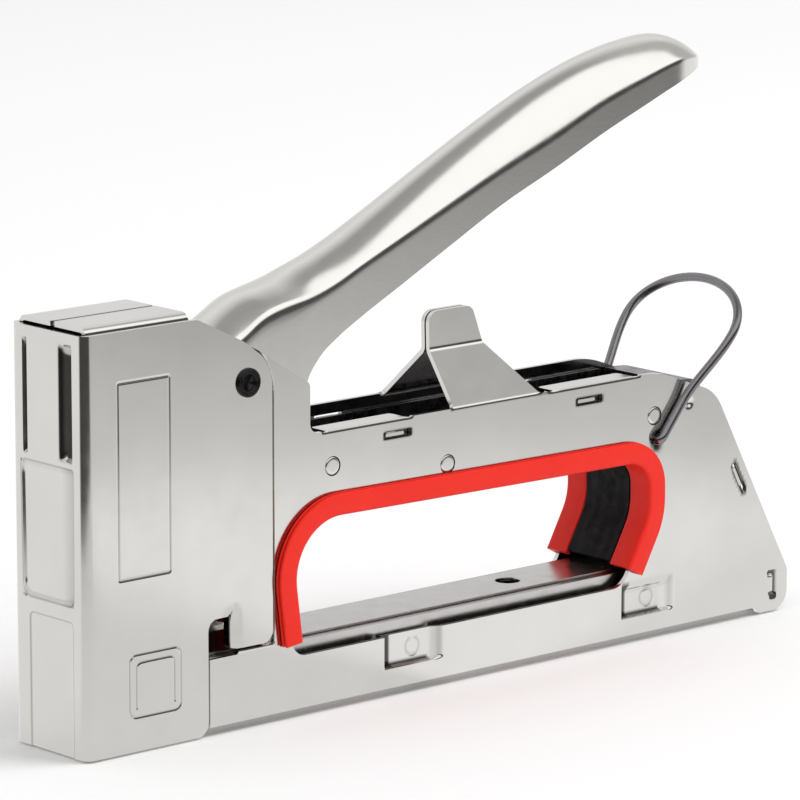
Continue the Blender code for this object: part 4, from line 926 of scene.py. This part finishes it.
def plate_form(side):
    """The plate's outer face over (x, v): upright, or bent along a fold's section."""
    folds = [ROOF, FIN] + (LIPS if side < 0 else [])

    def form(x, v):
        half, z = np.full_like(x, PLATE_HALF), v.copy()
        out, up = np.ones_like(x), np.zeros_like(x)
        stamped, crease = plate_stampings(x, v)
        for start, end, path, along in folds:
            bent = (x > start) & (x < end) & (v > along[0])
            half[bent] = np.interp(v[bent], along, path[:, 0])
            z[bent] = np.interp(v[bent], along, path[:, 1])
            slope = np.gradient(path, along, axis=0)
            out[bent] = np.interp(v[bent], along, slope[:, 1])
            up[bent] = -np.interp(v[bent], along, slope[:, 0])
            if path is ROOF[2]:
                stamped = np.where(bent, 0, stamped)
        # painted shade along the seam where the two plates' roof flaps meet in the middle
        crease = crease + 0.9 * bead(np.abs(v - ROOF[3][-1]), 0.8) * (x < 27)
        normal = np.stack([np.zeros_like(x), side * out, up], axis=1)
        return np.stack([x, side * half, z], axis=1) - normal * stamped[:, None], normal, crease
    return form


def side_plate(name, side):
    """One plate: its blank, pressed and folded, with the hand hole, slots and round holes."""
    path = hole_path()
    across = np.gradient(path, axis=0)
    across = np.stack([-across[:, 1], across[:, 0]], axis=1) / np.linalg.norm(across, axis=1)[:, None]
    opening = path + 1.8 * across          # under the edgings
    floor = rounded([(*opening[-1], 0), (opening[-1, 0] - 1.6, 12.0, 8), (opening[0, 0] + 0.6, 12.0, 5),
                     (*opening[0], 0)], closed=False)
    notch = np.array([(29, 15), (38, 15), (38, 24), (29, 24)])
    holes = [np.vstack([opening, floor[1:-1]]), round_hole(BAIL_X, BAIL_Z, 0.9), notch,
             round_hole(PIN_X, PIN_Z, 3.0)]
    holes += [slot_outline(*slot) for slot in SLOTS]
    holes += [round_hole(x, z, 2.0) for x, z in RIVETS]
    by_holes = [np.arange(x - 4.0, x + 4.1, 0.3) for x, *_ in SLOTS + RIVETS]
    x_lines = lines(1.4, 190, 1.0, fine=(30.4, 76.2, 84, 92, 141.5, 149.5, 157, 160.1, 175, 186),
                    fine_step=0.3, reach=2.8, exact=(1.4, 30.6, 56.3, 190), more=by_holes)
    by_seam = np.concatenate([np.arange(40.8, 45.1, 0.2), np.arange(45.2, 47.15, 0.1)])
    apart = (x_lines < by_seam[0] - 0.1) | (x_lines > by_seam[-1] + 0.1)
    x_lines = np.sort(np.concatenate([x_lines[apart], by_seam]))
    v_lines = lines(0, ROOF[3][-1], 1.0, fine=(5.6, 8.6, 15.5, 47, 49, 52.9, 56.5, 67.5, 70, 73, 84.5, 92.5),
                    fine_step=0.27, reach=1.8, exact=(0, 1.4, 12, BEAM_TOP))
    points, faces, crease = pressed_sheet(x_lines, v_lines, [plate_outline(side < 0)] + holes,
                                          plate_form(side), PLATE_SHEET)
    finished(name + "_pressed", points, faces, name, crease, bevel_mm=0.14)
    for k, slot in enumerate(SLOTS):
        slot_tab(f"{name}_slot_tab_{k}", side, slot)


def slot_tab(name, side, slot):
    """The end of an inner sheet's tab, in its slot: a rounded bar just below the plate's face."""
    outline = slot_outline(*slot, 4.9, 0.85, shift=-0.4)
    points = np.concatenate([np.insert(outline, 1, side * y, axis=1) for y in (9.5, 10.75)])
    count = len(outline)
    faces = grid_faces(2, count, wrap=True).tolist()
    faces += [list(range(count)), list(range(count, 2 * count))]
    finished(name, points, faces, bevel_mm=0.15)


# ---- pins and rivets -----------------------------------------------------------------------------------
def pivot_pin():
    """The pivot pin: turned, with rolled rims, a ring turned in each, and a blind bore in each end."""
    rim = rounded([(0.02, 11.3, 0), (1.55, 11.3, 0), (1.55, 11.5, 0.1), (1.95, 11.95, 0.2), (2.2, 11.6, 0.12),
                   (2.45, 11.95, 0.2), (2.9, 11.7, 0.3), (2.9, 10.6, 0)], closed=False, step=0.08)
    profile = np.concatenate([rim, (rim * [1, -1])[::-1]])
    points, faces = turned(profile, (PIN_X, PIN_Z))
    finished("handle_pivot_pin_turned", points, faces, "handle_pivot_pin")


def rivets():
    """Flush rivets: flat heads with a rounded edge, each in its plate's hole."""
    for node in [name for name in nodes if "rivet" in name]:
        corners = [nodes[node].matrix_world @ Vector(corner) for corner in nodes[node].bound_box]
        centre = np.mean(corners, axis=0)
        side = math.copysign(1, centre[1])
        profile = rounded([(0.01, 8.9, 0), (1.84, 8.9, 0), (1.84, 11.12, 0.28), (1.2, 11.13, 0),
                           (0.5, 11.13, 0), (0.12, 11.13, 0), (0.01, 11.13, 0)]) * [1, side]
        points, faces = turned(profile, ((centre[0] - NOSE) / MM, centre[2] / MM))
        finished(node + "_set", points, faces, node)


for name, node in nodes.items():
    node.data.materials.clear()
    node.data.materials.append(FINISH[SLOT_OF[name]])

front_cover()
side_plate("left_side_plate", -1)
side_plate("right_side_plate", 1)
handle()
grip_trim("left_grip_trim", -1)
grip_trim("right_grip_trim", 1)
grip_web()
bail()
main_spring()
pusher_spring()
pivot_pin()
rivets()
softened("magazine_cover", 0.2, half_mm=8.5, finish=UNBUFFED)
softened("magazine_body", 0.2, half_mm=PLATE_HALF - TAB_DEPTH - PLATE_SHEET - 0.05, finish=UNBUFFED)
softened("beam_frame", 0.2, half_mm=PLATE_HALF - PLATE_SHEET - 0.15)
softened("rear_strap", 0.2, half_mm=PLATE_HALF - PLATE_SHEET - 0.15)
for node in ("magazine_latch", "staple_rail", "staple_pusher", "striker", "blade_guide",
             "spring_cap", "lift_lever"):
    softened(node, 0.2)
for node in ("handle_push_pin", "lift_lever_pin", "nose_guide", "driver_blade", "striker_bumper",
             "staple_strip", "pusher_rod"):
    softened(node)


# ---- studio --------------------------------------------------------------------------------------------
def camera():
    """A long lens, a little above the tool, looking over its nose along its left side."""
    data = bpy.data.cameras.new("camera")
    data.sensor_width = 36
    data.lens = 243.495
    data.clip_start = 0.05
    data.clip_end = 20
    eye = Vector(at([-616.8, -796.8, 273.6]))
    turn, fall, roll = 0.8455, 0.2008, 0.0012      # radians
    ahead = Vector((math.cos(turn) * math.cos(fall), math.sin(turn) * math.cos(fall), -math.sin(fall)))
    obj = bpy.data.objects.new("camera", data)
    obj.rotation_euler = (ahead.to_track_quat("-Z", "Y").to_matrix().to_4x4()
                          @ Matrix.Rotation(roll, 4, "Z")).to_euler()
    obj.location = eye
    bpy.context.scene.collection.objects.link(obj)
    bpy.context.scene.camera = obj


def softbox(name, where, aim, size, power):
    """A white rectangular area light that faces a point, all in metres."""
    data = bpy.data.lights.new(name, "AREA")
    data.shape = "RECTANGLE"
    data.size, data.size_y = size
    data.energy = power
    obj = bpy.data.objects.new(name, data)
    obj.location = where
    obj.rotation_euler = (Vector(aim) - Vector(where)).to_track_quat("-Z", "Y").to_euler()
    bpy.context.scene.collection.objects.link(obj)
    return obj


def sheet(name, half, z, mat):
    """A flat square of the studio, with its middle under the tool's."""
    mesh = bpy.data.meshes.new(name)
    corners = [(-half, -half, z), (half, -half, z), (half, half, z), (-half, half, z)]
    mesh.from_pydata(corners, [], [(0, 1, 2, 3)])
    mesh.materials.append(mat)
    obj = bpy.data.objects.new(name, mesh)
    bpy.context.scene.collection.objects.link(obj)
    return obj


# what polished metal sees, as shares of the brightest softbox: above the horizon by height in
# degrees, on the paper by distance in metres, and their shares by the angle round the tool, from
# its tail (0) over its right side (90) to its nose (180)
BRIGHTEST = 1.5
BACK_SIDE = [(-90, 0.72), (0, 0.72), (6, 0.60), (22, 0.58), (42, 0.70), (60, 0.50), (72, 0.30), (90, 0.30)]
NEAR_SIDE = [(-90, 0.20), (-3, 0.07), (8, 0.05), (17, 0.12), (25, 1.0), (64, 1.0), (72, 0.34), (90, 0.30)]
DARK_ROOM = [(-90, 0.03), (10, 0.03), (22, 0.10), (30, 0.9), (60, 0.9), (72, 0.34), (90, 0.30)]
TAIL_SIDE = [(-90, 0.60), (0, 0.50), (20, 0.42), (60, 0.42), (72, 0.30), (90, 0.30)]
PAPER_REACH = 4.0
PAPER_BACK = [(0, 0.72), (PAPER_REACH, 0.72)]
PAPER_NEAR = [(0, 0.80), (0.17, 0.80), (0.26, 0.56), (0.37, 0.47), (0.50, 0.37), (0.75, 0.22), (1.1, 0.12),
              (1.7, 0.07), (PAPER_REACH, 0.05)]
PAPER_ROOM = [(0, 0.66), (0.26, 0.60), (0.30, 0.05), (PAPER_REACH, 0.03)]
NEAR_SHARE = [(-180, 0), (-160, 1), (-30, 1), (-21, 0), (180, 0)]
ROOM_SHARE = [(-180, 1), (-100, 1), (-82, 0), (165, 0), (178, 1), (180, 1)]
TAIL_SHARE = [(-180, 0), (-30, 0), (-21, 1), (6, 1), (20, 0), (180, 0)]


def scaled(stops, reach):
    """Stops in degrees from -reach to reach, as places from 0 to 1 on a ramp."""
    return [((degrees + reach) / (2 * reach), value) for degrees, value in stops]


def surroundings():
    """A white studio: pale behind the tool, and on the camera's side a dark room under one large,
    warm overhead softbox; only mirrors see it, everything else gets even white light."""
    world = bpy.data.worlds.new("studio")
    bpy.context.scene.world = world
    world.use_nodes = True
    ray = add(world, "ShaderNodeTexCoord").outputs["Generated"]
    parts = add(world, "ShaderNodeSeparateXYZ", None, {0: ray}).outputs
    height = add(world, "ShaderNodeMath", {"operation": "ARCSINE"}, {0: parts["Z"]}).outputs[0]
    rise = add(world, "ShaderNodeMapRange", {1: -math.pi / 2, 2: math.pi / 2}, {0: height}).outputs[0]
    turn = add(world, "ShaderNodeMath", {"operation": "ARCTAN2"}, {0: parts["Y"], 1: parts["X"]}).outputs[0]
    round_about = add(world, "ShaderNodeMapRange", {1: -math.pi, 2: math.pi}, {0: turn}).outputs[0]
    seen = add(world, "ShaderNodeValToRGB", {"stops": scaled(BACK_SIDE, 90)}, {"Fac": rise}).outputs["Color"]
    for levels, shares in ((NEAR_SIDE, NEAR_SHARE), (TAIL_SIDE, TAIL_SHARE), (DARK_ROOM, ROOM_SHARE)):
        level = add(world, "ShaderNodeValToRGB", {"stops": scaled(levels, 90)}, {"Fac": rise})
        share = add(world, "ShaderNodeValToRGB", {"stops": scaled(shares, 180)}, {"Fac": round_about})
        mixed = add(world, "ShaderNodeMix", {"data_type": "RGBA"},
                    {"Factor": share.outputs["Color"], "A": seen, "B": level.outputs["Color"]})
        seen = mixed.outputs["Result"]
    plain = world.node_tree.nodes["Background"]
    plain.inputs["Color"].default_value = linear("#FFFFFF")
    plain.inputs["Strength"].default_value = 0.72
    mirrored = add(world, "ShaderNodeBackground", {"Strength": BRIGHTEST}, {"Color": seen})
    is_mirror = add(world, "ShaderNodeLightPath").outputs["Is Glossy Ray"]
    choice = add(world, "ShaderNodeMixShader", None,
                 {0: is_mirror, 1: plain.outputs[0], 2: mirrored.outputs[0]})
    world.node_tree.links.new(choice.outputs[0], world.node_tree.nodes["World Output"].inputs["Surface"])


def paper_in_the_metal():
    """The paper as polished metal sees it: bright round the tool, and going dark with distance on
    the camera's side; nothing but a mirror sees it."""
    mat = bpy.data.materials.new("lit_paper_seen_in_metal")
    mat.use_nodes = True
    mat.node_tree.nodes.remove(mat.node_tree.nodes["Principled BSDF"])
    place = add(mat, "ShaderNodeTexCoord").outputs["Object"]
    parts = add(mat, "ShaderNodeSeparateXYZ", None, {0: place}).outputs
    away = add(mat, "ShaderNodeVectorMath", {"operation": "LENGTH"}, {0: place}).outputs["Value"]
    reach = add(mat, "ShaderNodeMapRange", {1: 0, 2: PAPER_REACH}, {0: away}).outputs[0]
    turn = add(mat, "ShaderNodeMath", {"operation": "ARCTAN2"}, {0: parts["Y"], 1: parts["X"]}).outputs[0]
    round_about = add(mat, "ShaderNodeMapRange", {1: -math.pi, 2: math.pi}, {0: turn}).outputs[0]
    seen = None
    for levels, shares in ((PAPER_BACK, None), (PAPER_NEAR, NEAR_SHARE), (PAPER_ROOM, ROOM_SHARE)):
        stops = [(metres / PAPER_REACH, value) for metres, value in levels]
        level = add(mat, "ShaderNodeValToRGB", {"stops": stops}, {"Fac": reach}).outputs["Color"]
        if shares:
            share = add(mat, "ShaderNodeValToRGB", {"stops": scaled(shares, 180)}, {"Fac": round_about})
            level = add(mat, "ShaderNodeMix", {"data_type": "RGBA"},
                        {"Factor": share.outputs["Color"], "A": seen, "B": level}).outputs["Result"]
        seen = level
    glow = add(mat, "ShaderNodeEmission", {"Strength": BRIGHTEST}, {"Color": seen})
    mat.node_tree.links.new(glow.outputs[0], mat.node_tree.nodes["Material Output"].inputs["Surface"])
    paper = sheet("paper_in_the_metal", PAPER_REACH, -0.0008, mat)
    paper.visible_camera = paper.visible_diffuse = paper.visible_transmission = paper.visible_shadow = False


def studio():
    """A white floor, which metal doesn't mirror, and soft light from above."""
    mat, _, _ = surface("matt_white_paper", "#FFFFFF", 0.0, 0.9)
    floor = sheet("floor", PAPER_REACH, -0.0005, mat)
    floor.visible_glossy = False
    paper_in_the_metal()
    softbox("key", (0.9, -0.9, 1.8), (0, 0, 0.05), (1.2, 1.2), 22).visible_glossy = False
    bpy.context.scene.view_settings.view_transform = "Standard"


surroundings()
camera()
studio()
